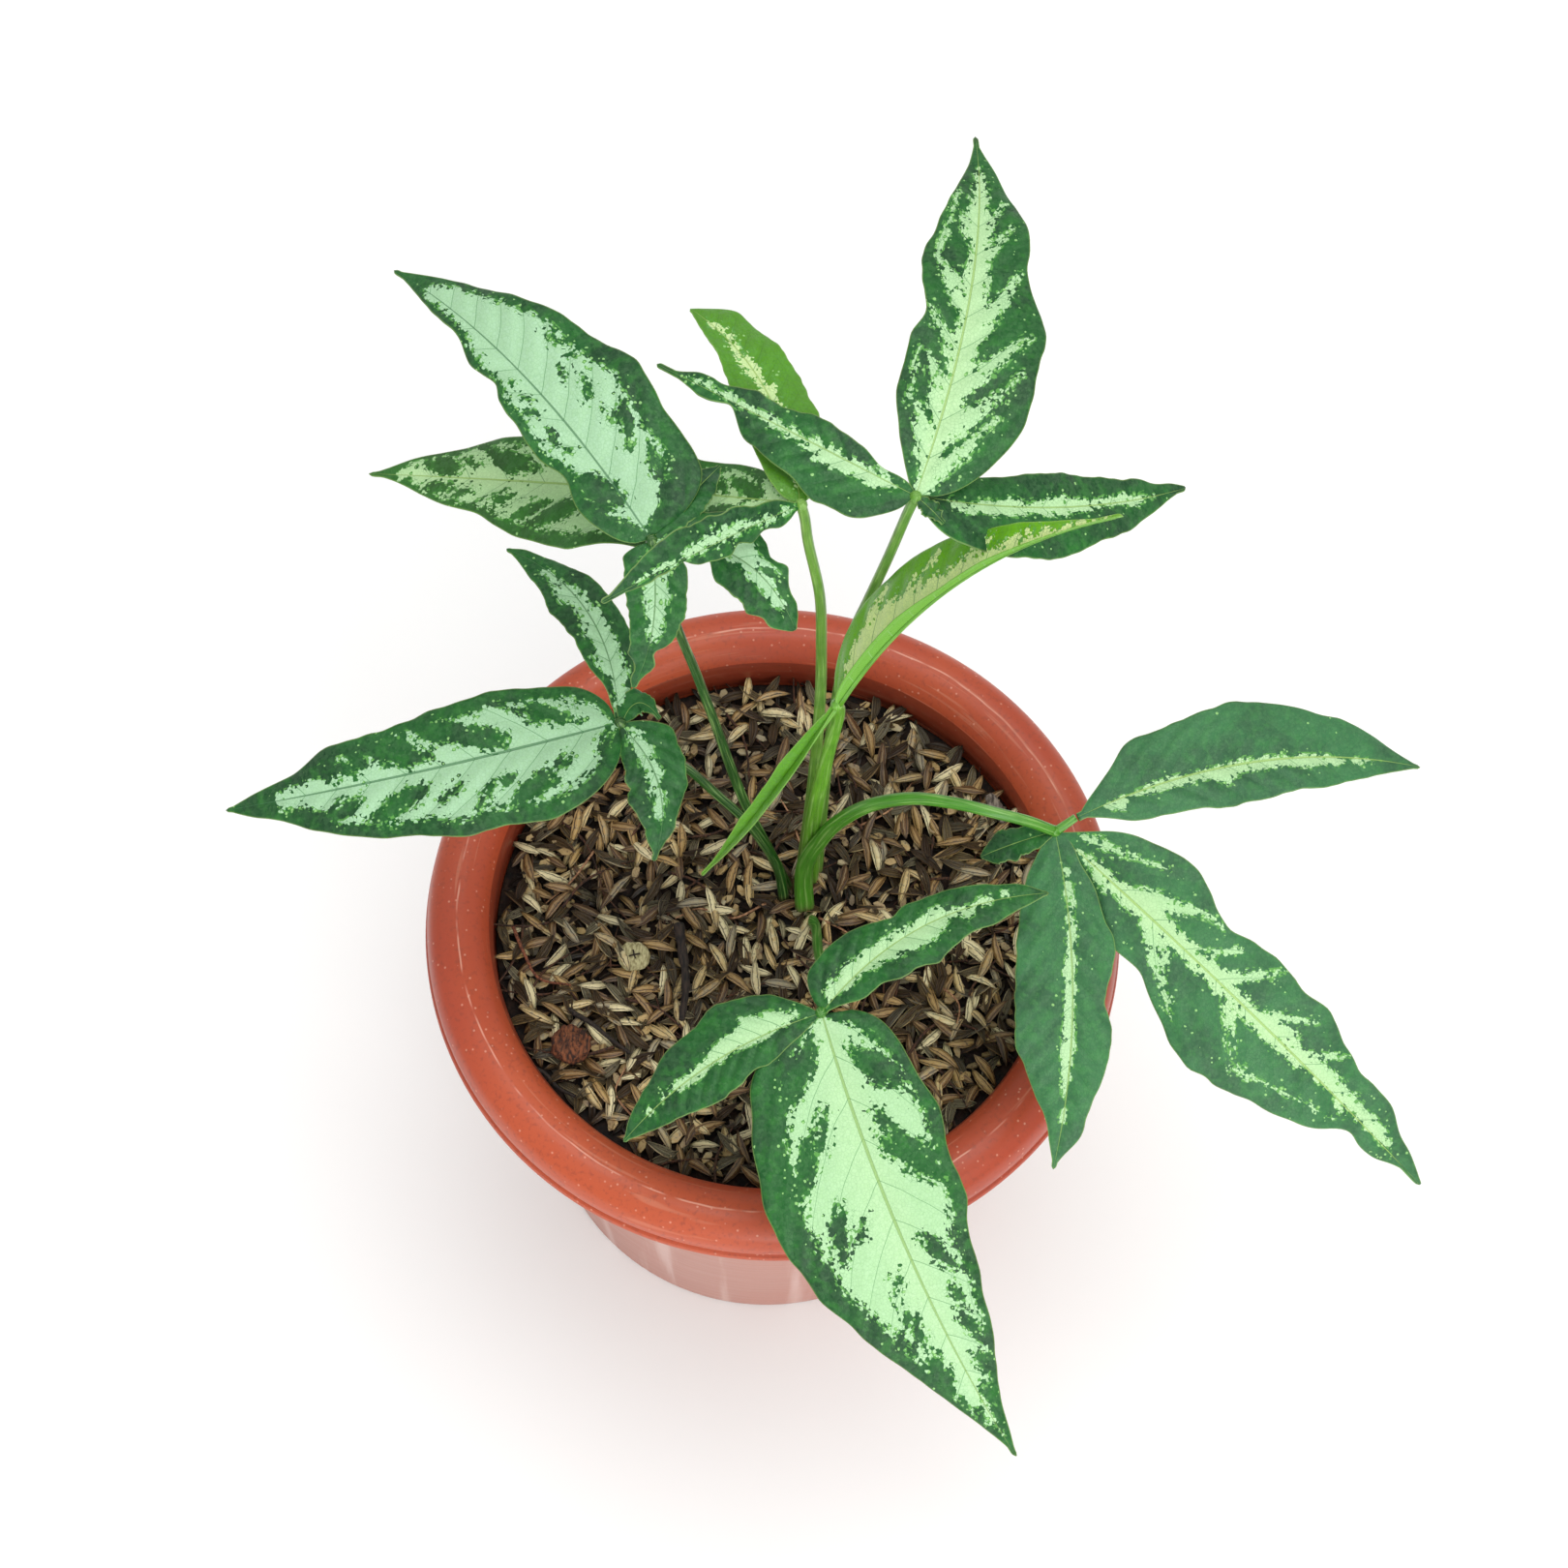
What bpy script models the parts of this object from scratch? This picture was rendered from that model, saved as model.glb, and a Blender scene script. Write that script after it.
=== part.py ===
"""A potted arrowhead plant (Syngonium): seven variegated leaves with three leaflets each, on two clumps
of stalks, in a plastic pot of potting mix topped with rice husks.

The origin is the centre of the pot's foot, +Z is up and the plant's front leaf points to -Y.
Sizes below are in millimetres and are turned to metres where a mesh is made.
"""

import math
import random
from dataclasses import dataclass

import bmesh
import bpy
from mathutils import Euler, Matrix, Vector

MM = 0.001
GAP = 0.3  # clearance left between neighbouring pieces

# Pot: a 17 cm plastic pot with a rolled-over rim
POT_HEIGHT = 135.0
LIP_RADIUS = 85.0
CREST_RADIUS = 76.8
FOOT_RADIUS = 57.4
WALL = 2.0
UNDER_RIM_RADIUS = 70.4
UNDER_RIM_HEIGHT = 123.0
MOUTH_RADIUS = 68.6
MOUTH_HEIGHT = 128.3
FLOOR_THICKNESS = 5.0
CENTRE_PAD_RADIUS = 22.0
CHANNEL_DEPTH = 2.2
CHANNEL_OUTER_RADIUS = 51.0
DRAIN_HOLES = 6
DRAIN_HOLE_RADIUS = 4.0
DRAIN_CIRCLE_RADIUS = 38.0
TURN_STEPS = 48  # sides of the pot and the root ball

# Potting mix and its rice husks, drawn larger than life here
SOIL_HEIGHT = 121.5  # in the middle
SOIL_CROWN = 1.2  # how much higher the middle is than the edge
SOIL_RINGS = 4
HUSKS = 112
HUSK_LENGTH = 17.0
HUSK_WIDTH = 6.6
HUSK_THICKNESS = 3.6
HUSK_SEED = 11
GOLDEN_ANGLE = math.pi * (3 - math.sqrt(5))

# Stalks and blades
STALK_SIDES_RESOLUTION = 2
SHEATH_FALL = 1.5  # how fast a stalk narrows above its sheath
STALK_END_GAP = 0.5  # between a stalk and its blade's knuckle
ROOT_DEPTH = 17.0
KNUCKLE_RADIUS = 1.5  # the small joint where the leaflets meet the stalk
LEAFLET_START = 0.6  # how far out from the knuckle's middle a leaflet begins
BLADE_THICKNESS = 0.7
BLADE_BASE_HALF_WIDTH = 1.2
BLADE_TIP_HALF_WIDTH = 0.35
STRIPS_ACROSS = 4
DROOP = 0.1  # how far a blade's edges hang, as a share of its half width
RIGHT_WAVE_PHASE = 2.1  # so that the two edges of a leaflet wave apart

POT_RED = (0.46, 0.105, 0.05, 1.0)
HUSK_BROWN = (0.16, 0.085, 0.04, 1.0)
STALK_GREEN = (0.08, 0.24, 0.05, 1.0)
LEAF_GREEN = (0.03, 0.12, 0.05, 1.0)
YOUNG_GREEN = (0.20, 0.42, 0.05, 1.0)
WOOD_PALE = (0.50, 0.42, 0.27, 1.0)
TWIG_BROWN = (0.05, 0.03, 0.02, 1.0)
BARK_GREY = (0.13, 0.11, 0.09, 1.0)
CLAY_RED = (0.20, 0.07, 0.03, 1.0)


@dataclass(frozen=True)
class Leaflet:
    """One leaflet. Left and right are as seen from its base with the upper face up."""

    tip: tuple
    left: float  # widest half width left of the midrib
    right: float
    left_peak: float = 0.40  # where it is widest, from 0 at the base to 1 at the tip
    right_peak: float = 0.40
    fullness: float = 0.6  # under 1 gives a round base
    taper: float = 1.1  # over 1 draws the tip out
    bow: float = 0.0  # sideways bend of the midrib, to the left
    arch: float = 3.0  # rise of the midrib above the straight line to the tip
    roll: float = 0.0  # degrees that the upper face is turned to the left
    fold: float = 8.0  # degrees that each half is raised from the midrib
    wave: float = 0.7
    waves: float = 3.0
    stations: int = 10
    base: tuple | None = None  # where it starts, if not at the knuckle


@dataclass(frozen=True)
class Leaf:
    """One leaf: the route of its stalk from the mix up, its knuckle and its leaflets."""

    route: tuple
    knuckle: tuple
    low_radius: float
    top_radius: float
    leaflets: tuple
    colour: tuple = LEAF_GREEN
    side_shoot: bool = False


LEAVES = {
    "tall_left": Leaf(
        route=((3.5, 11, 122), (-1.5, 12.5, 142), (-7, 13.5, 164), (-11, 13.5, 186), (-15.5, 14.5, 212),
               (-20, 15, 238), (-23.5, 15, 257), (-26.5, 14.5, 280), (-28, 14.5, 295)),
        knuckle=(-29, 14, 302), low_radius=1.3, top_radius=1.0, side_shoot=True,
        leaflets=(
            Leaflet(tip=(-90, 88, 282), left=10, right=20, left_peak=0.18, right_peak=0.21,
                    fullness=0.4, taper=1.08, bow=-3, arch=7, roll=6, wave=1.0, stations=14),
            Leaflet(tip=(-32, -8, 276), left=7.2, right=6.5, left_peak=0.22, right_peak=0.22,
                    fullness=0.45, taper=1.2, bow=2.6, roll=5),
            Leaflet(tip=(2, -3.6, 298), left=7, right=9.3, left_peak=0.3, right_peak=0.6,
                    fullness=0.9, taper=0.75, bow=6.9, roll=6),
        )),
    "low_left": Leaf(
        route=((2.5, 8, 122), (0.5, 10, 139), (-4.5, 11.5, 154), (-8.5, 12, 164), (-15, 13, 175),
               (-21.5, 13.5, 187), (-29.5, 13.5, 199)),
        knuckle=(-37, 13, 212), low_radius=1.3, top_radius=1.0, side_shoot=True,
        leaflets=(
            Leaflet(tip=(-128, -2, 186), left=18.8, right=14.7, left_peak=0.22, right_peak=0.27,
                    fullness=0.4, taper=0.98, bow=3.9, arch=8, roll=6, wave=1.0, stations=14),
            Leaflet(tip=(-66, 58, 208), left=7.1, right=7.1, left_peak=0.54, right_peak=0.41,
                    fullness=0.87, taper=1.04, bow=-6.7, arch=4, roll=-6),
            Leaflet(tip=(-28, -14, 196), left=7.9, right=7.7, left_peak=0.25, right_peak=0.5,
                    fullness=0.7, taper=1.3, bow=5, arch=2, roll=3, stations=8),
            Leaflet(tip=(-28, 15.3, 210), left=3.5, right=3.0, fullness=0.5, bow=4, arch=1, stations=6),
        )),
    "tall_middle": Leaf(
        route=((6.5, 16.5, 122), (8, 20.5, 166), (8.5, 22.5, 208), (8, 23.5, 237), (7, 23.5, 261),
               (4, 23, 286), (3, 22.5, 298)),
        knuckle=(2, 22, 306), low_radius=1.6, top_radius=1.15,
        leaflets=(
            Leaflet(tip=(-95, 54, 250), left=15.8, right=12, left_peak=0.45, right_peak=0.6,
                    fullness=0.5, taper=1.15, bow=-2.6, arch=-3, roll=1, wave=1.0, stations=14),
            Leaflet(tip=(-38, -9, 318), left=4.5, right=7, left_peak=0.3, right_peak=0.55,
                    fullness=0.72, taper=1.26, bow=-1.7, roll=45),
            Leaflet(tip=(-24, 77, 290), left=7.4, right=8.6, left_peak=0.25, right_peak=0.6,
                    fullness=0.4, taper=0.75, bow=-4.6, roll=-6),
        )),
    "tall_right": Leaf(
        route=((10, 16.5, 122), (11, 24, 170), (13, 26.5, 213), (15, 27.5, 234), (18, 27.5, 252),
               (21.5, 26, 276), (24.5, 24, 300)),
        knuckle=(26, 24, 308), low_radius=1.6, top_radius=1.15,
        leaflets=(
            Leaflet(tip=(37, 123, 292), left=11.5, right=17.5, left_peak=0.42, right_peak=0.27,
                    fullness=0.47, taper=1.13, bow=-4, arch=8, roll=-5, wave=1.2, stations=14),
            Leaflet(tip=(-30, 55, 304), left=10.2, right=5.8, left_peak=0.2, right_peak=0.47,
                    fullness=0.47, taper=1.6, bow=1, roll=6),
            Leaflet(tip=(86, 48, 272), left=8, right=12, left_peak=0.45, right_peak=0.3,
                    fullness=0.58, taper=1.19, bow=-3.9, arch=1, roll=-12),
            Leaflet(tip=(32, 19, 306), left=2.0, right=2.0, fullness=0.5, arch=0.5, stations=5),
        )),
    "young": Leaf(
        route=((8, 13.5, 122), (8.5, 13, 162), (10.5, 11.5, 199), (12.6, 10.4, 227)),
        knuckle=(12, 7, 240), low_radius=2.6, top_radius=1.4, colour=YOUNG_GREEN,
        leaflets=(
            Leaflet(tip=(67.5, 9, 332), left=8.5, right=12, left_peak=0.5, right_peak=0.28,
                    fullness=0.55, taper=1.5, bow=8, arch=4, roll=-20, fold=52, wave=0.5, stations=12),
            Leaflet(tip=(-17, -8.5, 176), left=5, right=3.2, left_peak=0.4, right_peak=0.3,
                    fullness=0.72, taper=1.1, bow=4, arch=3, roll=6, fold=46, wave=0.2),
        )),
    "low_right": Leaf(
        route=((7.5, 6.5, 122), (7, 9, 142), (10.5, 10.5, 156), (15, 11, 167), (22, 10.5, 178),
               (31, 9, 186), (41, 6.5, 190), (50.5, 4.5, 190), (58.5, 4, 187)),
        knuckle=(65, 4, 182), low_radius=2.5, top_radius=1.3,
        leaflets=(
            Leaflet(tip=(157, -60, 128), left=16, right=19, left_peak=0.24, right_peak=0.46,
                    fullness=1.0, taper=1.08, bow=1.9, arch=10, roll=-25, wave=1.4, waves=4, stations=16),
            Leaflet(tip=(153, 32, 166), left=15.8, right=9.9, left_peak=0.46, right_peak=0.4,
                    fullness=0.61, taper=0.88, bow=4.9, arch=6, roll=-1, base=(73, 9, 185)),
            Leaflet(tip=(68, -68, 150), left=9.7, right=13.6, left_peak=0.55, right_peak=0.49,
                    fullness=0.43, taper=1.14, bow=4, arch=4, roll=-1),
            Leaflet(tip=(48, -1, 176.5), left=4, right=4, left_peak=0.6, right_peak=0.6,
                    fullness=0.5, taper=0.7, arch=1, stations=6),
        )),
    "front": Leaf(
        route=((9, 4, 122), (10.5, -2, 130), (11, -11.5, 142), (12, -25, 158), (12, -38, 174)),
        knuckle=(12, -44, 182), low_radius=1.4, top_radius=1.1,
        leaflets=(
            Leaflet(tip=(62, -131, 128), left=19.8, right=24, left_peak=0.26, right_peak=0.29,
                    fullness=0.4, taper=1.3, bow=-3.7, arch=10, roll=-12, wave=1.2, stations=16),
            Leaflet(tip=(63, -16, 192), left=8.6, right=8.5, left_peak=0.25, right_peak=0.45,
                    fullness=0.5, taper=0.85, bow=5.9, roll=3),
            Leaflet(tip=(-32, -71, 164), left=8.5, right=10.6, left_peak=0.49, right_peak=0.34,
                    fullness=0.75, taper=0.94, bow=-2.8, arch=4),
        )),
}
SIDE_PETIOLULE_RADIUS = 1.2  # the short stalk of the low right leaf's upper leaflet

# Where the two clumps of stalks join below the surface of the mix, and how thick they are there
CROWNS = {"stalks_main": ((8.6, 10.5), 3.8), "stalks_side": ((0.2, 9.0), 2.2)}

STALKS_MIDDLE = (6, 11)
STALKS_REACH = 9.0

# Loose pieces on the mix: centre on the surface
WOOD_DISC_PLACE = (-33.5, -9.5)
WOOD_DISC_RADIUS = 4.3
WOOD_DISC_THICKNESS = 2.4
TWIG_ENDS = ((-23, -1.5), (-21, -26.5))
TWIG_RADIUS = 1.2
BARK_CHIP_PLACE = (54, 34)
BARK_CHIP_HEADING = 122.0
BARK_CHIP_SIZE = (9.0, 3.2, 2.2)
CLAY_LUMP_PLACE = (-47.5, -34)
CLAY_LUMP_SIZE = (11.0, 9.0, 7.0)


def clear_scene():
    """Removes what the file holds when it opens."""
    for thing in list(bpy.data.objects):
        bpy.data.objects.remove(thing, do_unlink=True)


def new_collection(name, helper=False):
    """A collection in the scene; a helper's objects stay out of the model."""
    made = bpy.data.collections.new(name)
    made.hide_render = helper
    bpy.context.scene.collection.children.link(made)
    return made


def new_object(name, mesh, collection):
    """An object that holds this mesh, in this collection."""
    made = bpy.data.objects.new(name, mesh)
    collection.objects.link(made)
    return made


def material(name, colour, roughness):
    """A plain Principled material."""
    made = bpy.data.materials.new(name)
    made.use_nodes = True
    shader = made.node_tree.nodes["Principled BSDF"]
    shader.inputs["Base Color"].default_value = colour
    shader.inputs["Roughness"].default_value = roughness
    shader.inputs["Metallic"].default_value = 0.0
    made.diffuse_color = colour
    return made


def evaluated_mesh(thing, weld_caps=False):
    """The object's mesh with its modifiers applied, and a curve's loose caps welded on."""
    graph = bpy.context.evaluated_depsgraph_get()
    mesh = bpy.data.meshes.new_from_object(thing.evaluated_get(graph))
    if weld_caps:
        work = bmesh.new()
        work.from_mesh(mesh)
        bmesh.ops.remove_doubles(work, verts=work.verts, dist=0.01 * MM)
        bmesh.ops.recalc_face_normals(work, faces=work.faces)
        work.to_mesh(mesh)
        work.free()
    return mesh


def union(name, first, others, collection, finish, solver="EXACT"):
    """One solid made of the first object and the others, which are then removed."""
    group = new_collection(f"{name}_parts", helper=True)
    for other in others:
        group.objects.link(other)
    join = first.modifiers.new("join", "BOOLEAN")
    join.operation = "UNION"
    join.operand_type = "COLLECTION"
    join.solver = solver
    join.collection = group
    made = new_object(name, evaluated_mesh(first), collection)
    made.matrix_world = first.matrix_world
    made.data.materials.clear()
    made.data.materials.append(finish)
    for used in [first, *others]:
        bpy.data.objects.remove(used, do_unlink=True)
    bpy.data.collections.remove(group)
    return made


def cut(target, cutters):
    """Subtracts each cutter from the target by a live Boolean."""
    for cutter in cutters:
        hole = target.modifiers.new(cutter.name, "BOOLEAN")
        hole.operation = "DIFFERENCE"
        hole.object = cutter
        cutter.display_type = "WIRE"
        cutter.hide_render = True


def smooth_route(points, pieces):
    """Points along a Catmull-Rom curve through the given ones."""
    ends = [Vector(p) for p in points]
    padded = [2 * ends[0] - ends[1], *ends, 2 * ends[-1] - ends[-2]]
    route = []
    for before, start, stop, after in zip(padded, padded[1:], padded[2:], padded[3:]):
        for step in range(pieces):
            t = step / pieces
            pull = (stop - before) * t + (2 * before - 5 * start + 4 * stop - after) * t * t
            pull += (3 * start - before - 3 * stop + after) * t ** 3
            route.append(start + pull / 2)
    return [*route, ends[-1]]


def tube(name, route, radii, collection):
    """A mesh tube with flat ends along the route, its radius running through the given values."""
    curve = bpy.data.curves.new(name, "CURVE")
    curve.dimensions = "3D"
    curve.bevel_depth = MM
    curve.bevel_resolution = STALK_SIDES_RESOLUTION
    curve.use_fill_caps = True
    spline = curve.splines.new("POLY")
    spline.points.add(len(route) - 1)
    for index, (point, place) in enumerate(zip(spline.points, route)):
        point.co = (*(Vector(place) * MM), 1.0)
        point.radius = radii(index / (len(route) - 1))
    source = new_object(f"{name}_curve", curve, collection)
    made = new_object(name, evaluated_mesh(source, weld_caps=True), collection)
    bpy.data.objects.remove(source, do_unlink=True)
    return made


def pot_profile():
    """Radius and height of the pot's section, from the rim's crest down the outside and back up inside."""
    taper = (UNDER_RIM_RADIUS - FOOT_RADIUS) / UNDER_RIM_HEIGHT
    floor_radius = FOOT_RADIUS + taper * FLOOR_THICKNESS - WALL
    roll = [(CREST_RADIUS, POT_HEIGHT), (80.6, 134.2), (83.2, 132.0), (84.4, 128.8), (84.5, 126.4),
            (83.7, 125.7), (84.4, 125.0), (LIP_RADIUS, 124.4), (LIP_RADIUS, 123.4), (83.2, 123.0),
            (82.4, 127.0), (80.4, 131.0), (CREST_RADIUS, 132.6), (72.6, 130.6),
            (UNDER_RIM_RADIUS, UNDER_RIM_HEIGHT)]
    foot = [(FOOT_RADIUS + taper * 2, 2.0), (FOOT_RADIUS - 1.0, 0.0), (CHANNEL_OUTER_RADIUS + 1, 0.0),
            (CHANNEL_OUTER_RADIUS, CHANNEL_DEPTH), (CENTRE_PAD_RADIUS + 1, CHANNEL_DEPTH),
            (CENTRE_PAD_RADIUS, 0.0), (0.0, 0.0)]
    inside = [(0.0, FLOOR_THICKNESS), (floor_radius, FLOOR_THICKNESS),
              (UNDER_RIM_RADIUS - WALL, UNDER_RIM_HEIGHT), (MOUTH_RADIUS, MOUTH_HEIGHT),
              (69.6, 130.6), (71.6, 133.0), (74.0, 134.5)]
    return roll + foot + inside


def turned(name, profile, closed, collection):
    """A solid turned from its section, given as radius and height; closed joins the section's ends."""
    mesh = bpy.data.meshes.new(name)
    work = bmesh.new()
    corners = [work.verts.new((radius * MM, 0, height * MM)) for radius, height in profile]
    for start, stop in zip(corners, [*corners[1:], corners[0]] if closed else corners[1:]):
        if start.co.x + stop.co.x > 0:
            work.edges.new((start, stop))
    work.to_mesh(mesh)
    work.free()
    made = new_object(name, mesh, collection)
    turn = made.modifiers.new("turn", "SCREW")
    turn.steps = turn.render_steps = TURN_STEPS
    turn.use_merge_vertices = True
    turn.merge_threshold = 0.02 * MM
    return made


def make_pot(collection, cutters):
    """The pot, turned from its section, with a ring of drain holes through its floor."""
    pot = turned("pot", pot_profile(), True, collection)
    pot.data.materials.append(material("terracotta plastic", POT_RED, 0.45))
    holes = []
    for index in range(DRAIN_HOLES):
        angle = 2 * math.pi * (index + 0.5) / DRAIN_HOLES
        bpy.ops.mesh.primitive_cylinder_add(
            vertices=12, radius=DRAIN_HOLE_RADIUS * MM, depth=4 * FLOOR_THICKNESS * MM,
            location=(DRAIN_CIRCLE_RADIUS * math.cos(angle) * MM, DRAIN_CIRCLE_RADIUS * math.sin(angle) * MM,
                      FLOOR_THICKNESS / 2 * MM))
        hole = bpy.context.object
        hole.name = f"drain_hole_{index}"
        hole.users_collection[0].objects.unlink(hole)
        cutters.objects.link(hole)
        holes.append(hole)
    cut(pot, holes)
    return pot


def stalk_route(leaf, crown):
    """The stalk's whole route, from the crown in the mix to just below the knuckle."""
    (x, y), _ = crown
    knuckle = Vector(leaf.knuckle)
    towards = (knuckle - Vector(leaf.route[-1])).normalized()
    top = knuckle - towards * (KNUCKLE_RADIUS + STALK_END_GAP)
    return smooth_route([(x, y, SOIL_HEIGHT - ROOT_DEPTH), *leaf.route, top], 2)


def stalk_radius(leaf):
    """How the stalk's radius falls from its sheath to its top."""
    def radius(along):
        return leaf.top_radius + (leaf.low_radius - leaf.top_radius) * (1 - along) ** SHEATH_FALL
    return radius


def make_stalks(name, leaves, collection, cutters, green):
    """A clump of stalks joined to a short stem in the mix, and the cutter for its holes."""
    crown = CROWNS[name]
    (x, y), crown_radius = crown
    foot = [(x, y, SOIL_HEIGHT - ROOT_DEPTH - 3), (x, y, SOIL_HEIGHT - 6)]

    def clump(label, extra):
        stem = tube(f"{label}_stem", foot, lambda _: crown_radius + extra, collection)
        stalks = []
        for key, leaf in leaves.items():
            widen = stalk_radius(leaf)
            stalks.append(tube(f"{label}_{key}", stalk_route(leaf, crown),
                               lambda along, widen=widen: widen(along) + extra, collection))
        return stem, stalks

    stem, stalks = clump(name, 0.0)
    made = union(name, stem, stalks, collection, green)
    stem, stalks = clump(f"{name}_hole", GAP)
    hole = union(f"{name}_hole", stem, stalks, cutters, green)
    return made, hole


def half_width(leaflet, along, left_side):
    """Half the leaflet's width at a place along it."""
    widest = leaflet.left if left_side else leaflet.right
    peak = leaflet.left_peak if left_side else leaflet.right_peak
    if along < peak:
        width = widest * math.sin(math.pi / 2 * along / peak) ** leaflet.fullness
        return max(width, BLADE_BASE_HALF_WIDTH)
    past = (along - peak) / (1 - peak)
    return max(widest * max(math.cos(math.pi / 2 * past), 0.0) ** leaflet.taper, BLADE_TIP_HALF_WIDTH)


def blade_point(leaflet, base, along, across):
    """A point of the leaflet's middle surface, by its share of the length and, signed, of the half width."""
    chord = Vector(leaflet.tip) - base
    length = chord.length
    forward = chord / length
    upright = (Vector((0, 0, 1)) - forward * forward.z).normalized()
    leftward = upright.cross(forward)
    roll = math.radians(leaflet.roll)
    face = upright * math.cos(roll) + leftward * math.sin(roll)
    side = face.cross(forward)
    rise = 4 * along * (1 - along)
    midrib = base + forward * length * along + face * leaflet.arch * rise + side * leaflet.bow * rise
    slope = 4 * (1 - 2 * along)
    tangent = (forward * length + face * leaflet.arch * slope + side * leaflet.bow * slope).normalized()
    normal = (face - tangent * face.dot(tangent)).normalized()
    left = normal.cross(tangent)
    width = half_width(leaflet, along, across >= 0)
    fold = math.radians(leaflet.fold)
    out = abs(across) * width
    lift = out * math.sin(fold) - DROOP * across * across * width
    phase = 0.0 if across >= 0 else RIGHT_WAVE_PHASE
    ripple = math.sin(2 * math.pi * leaflet.waves * along + phase) * math.sin(math.pi * along)
    lift += leaflet.wave * across * across * ripple
    return midrib + left * math.copysign(out * math.cos(fold), across) + normal * lift


def make_leaflet(name, leaflet, knuckle, collection):
    """A leaflet as a thin curved plate, split into triangles alike on both faces."""
    start = Vector(leaflet.base or knuckle)
    base = start + (Vector(leaflet.tip) - start).normalized() * LEAFLET_START
    work = bmesh.new()
    bmesh.ops.create_grid(work, x_segments=leaflet.stations, y_segments=STRIPS_ACROSS, size=1.0)
    for corner in work.verts:
        along = (corner.co.x + 1) / 2
        corner.co = blade_point(leaflet, base, along, corner.co.y) * MM
    bmesh.ops.triangulate(work, faces=work.faces, quad_method="FIXED")
    mesh = bpy.data.meshes.new(name)
    work.to_mesh(mesh)
    work.free()
    made = new_object(name, mesh, collection)
    plate = made.modifiers.new("plate", "SOLIDIFY")
    plate.thickness = BLADE_THICKNESS * MM
    plate.offset = 0.0
    made_solid = new_object(f"{name}_solid", evaluated_mesh(made), collection)
    bpy.data.objects.remove(made, do_unlink=True)
    return made_solid


def make_knuckle(name, place, collection):
    """The small joint that a blade's leaflets grow from."""
    bpy.ops.mesh.primitive_uv_sphere_add(
        segments=10, ring_count=6, radius=KNUCKLE_RADIUS * MM, location=Vector(place) * MM)
    made = bpy.context.object
    made.name = name
    made.users_collection[0].objects.unlink(made)
    collection.objects.link(made)
    return made


def make_blade(key, leaf, collection):
    """One leaf's blade: its leaflets joined at the knuckle."""
    name = f"blade_{key}"
    parts = [make_leaflet(f"{name}_{index}", leaflet, leaf.knuckle, collection)
             for index, leaflet in enumerate(leaf.leaflets)]
    for index, leaflet in enumerate(leaf.leaflets):
        if leaflet.base:
            route = smooth_route([leaf.knuckle, leaflet.base], 2)
            petiolule = tube(f"{name}_petiolule_{index}", route, lambda _: SIDE_PETIOLULE_RADIUS, collection)
            parts.append(petiolule)
            parts.append(make_knuckle(f"{name}_knuckle_{index}", leaflet.base, collection))
    knuckle = make_knuckle(f"{name}_knuckle", leaf.knuckle, collection)
    finish = material(f"{key} leaf", leaf.colour, 0.4)
    # EXACT leaves open edges where the folded young blade meets its knuckle
    return union(name, knuckle, parts, collection, finish, solver="MANIFOLD")


def soil_radius(height):
    """How far out the mix reaches at a height: to the pot's wall less the usual gap."""
    taper = (UNDER_RIM_RADIUS - FOOT_RADIUS) / UNDER_RIM_HEIGHT
    return FOOT_RADIUS + taper * height - WALL - GAP


def surface_height(x, y):
    """The height of the mix at a place: its top is slightly domed."""
    return SOIL_HEIGHT - SOIL_CROWN * (math.hypot(x, y) / soil_radius(SOIL_HEIGHT)) ** 2


def soil_profile():
    """Radius and height of the mix, from the middle of its top out, down the side and in along its foot."""
    foot = FLOOR_THICKNESS + GAP
    edge = soil_radius(SOIL_HEIGHT - SOIL_CROWN)
    rings = [(edge * ring / SOIL_RINGS, surface_height(edge * ring / SOIL_RINGS, 0))
             for ring in range(SOIL_RINGS + 1)]
    return [*rings, (soil_radius(foot), foot), (0.0, foot)]


def near_loose_piece(x, y, reach):
    """Whether a husk that reaches this far would touch a stalk or a loose piece."""
    keep_clear = [(WOOD_DISC_PLACE, WOOD_DISC_RADIUS), (BARK_CHIP_PLACE, BARK_CHIP_SIZE[0] / 2),
                  (CLAY_LUMP_PLACE, CLAY_LUMP_SIZE[0] / 2), (STALKS_MIDDLE, STALKS_REACH)]
    (ax, ay), (bx, by) = TWIG_ENDS
    for share in (0, 0.25, 0.5, 0.75, 1):
        keep_clear.append(((ax + (bx - ax) * share, ay + (by - ay) * share), TWIG_RADIUS))
    return any(math.hypot(x - cx, y - cy) < radius + reach for (cx, cy), radius in keep_clear)


def husk_places(draw):
    """Where the husks lie and how they are turned: a sunflower spiral, with each place jittered."""
    outer = UNDER_RIM_RADIUS - WALL - 4.0
    places = []
    for index in range(HUSKS):
        radius = outer * math.sqrt((index + 0.5) / HUSKS)
        angle = index * GOLDEN_ANGLE
        x = radius * math.cos(angle) + draw.uniform(-2, 2)
        y = radius * math.sin(angle) + draw.uniform(-2, 2)
        heading = draw.uniform(0, math.pi)
        tilt = draw.uniform(-0.16, 0.16)
        half = HUSK_LENGTH * draw.uniform(0.4, 0.55)
        if math.hypot(x, y) > outer - half:
            heading = math.atan2(y, x) + math.pi / 2 + draw.uniform(-0.25, 0.25)
        far = max(math.hypot(x + end * half * math.cos(heading), y + end * half * math.sin(heading))
                  for end in (-1, 1))
        if far < outer + 2 and not near_loose_piece(x, y, half * 0.8):
            places.append((x, y, heading, tilt, half))
    return places


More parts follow.
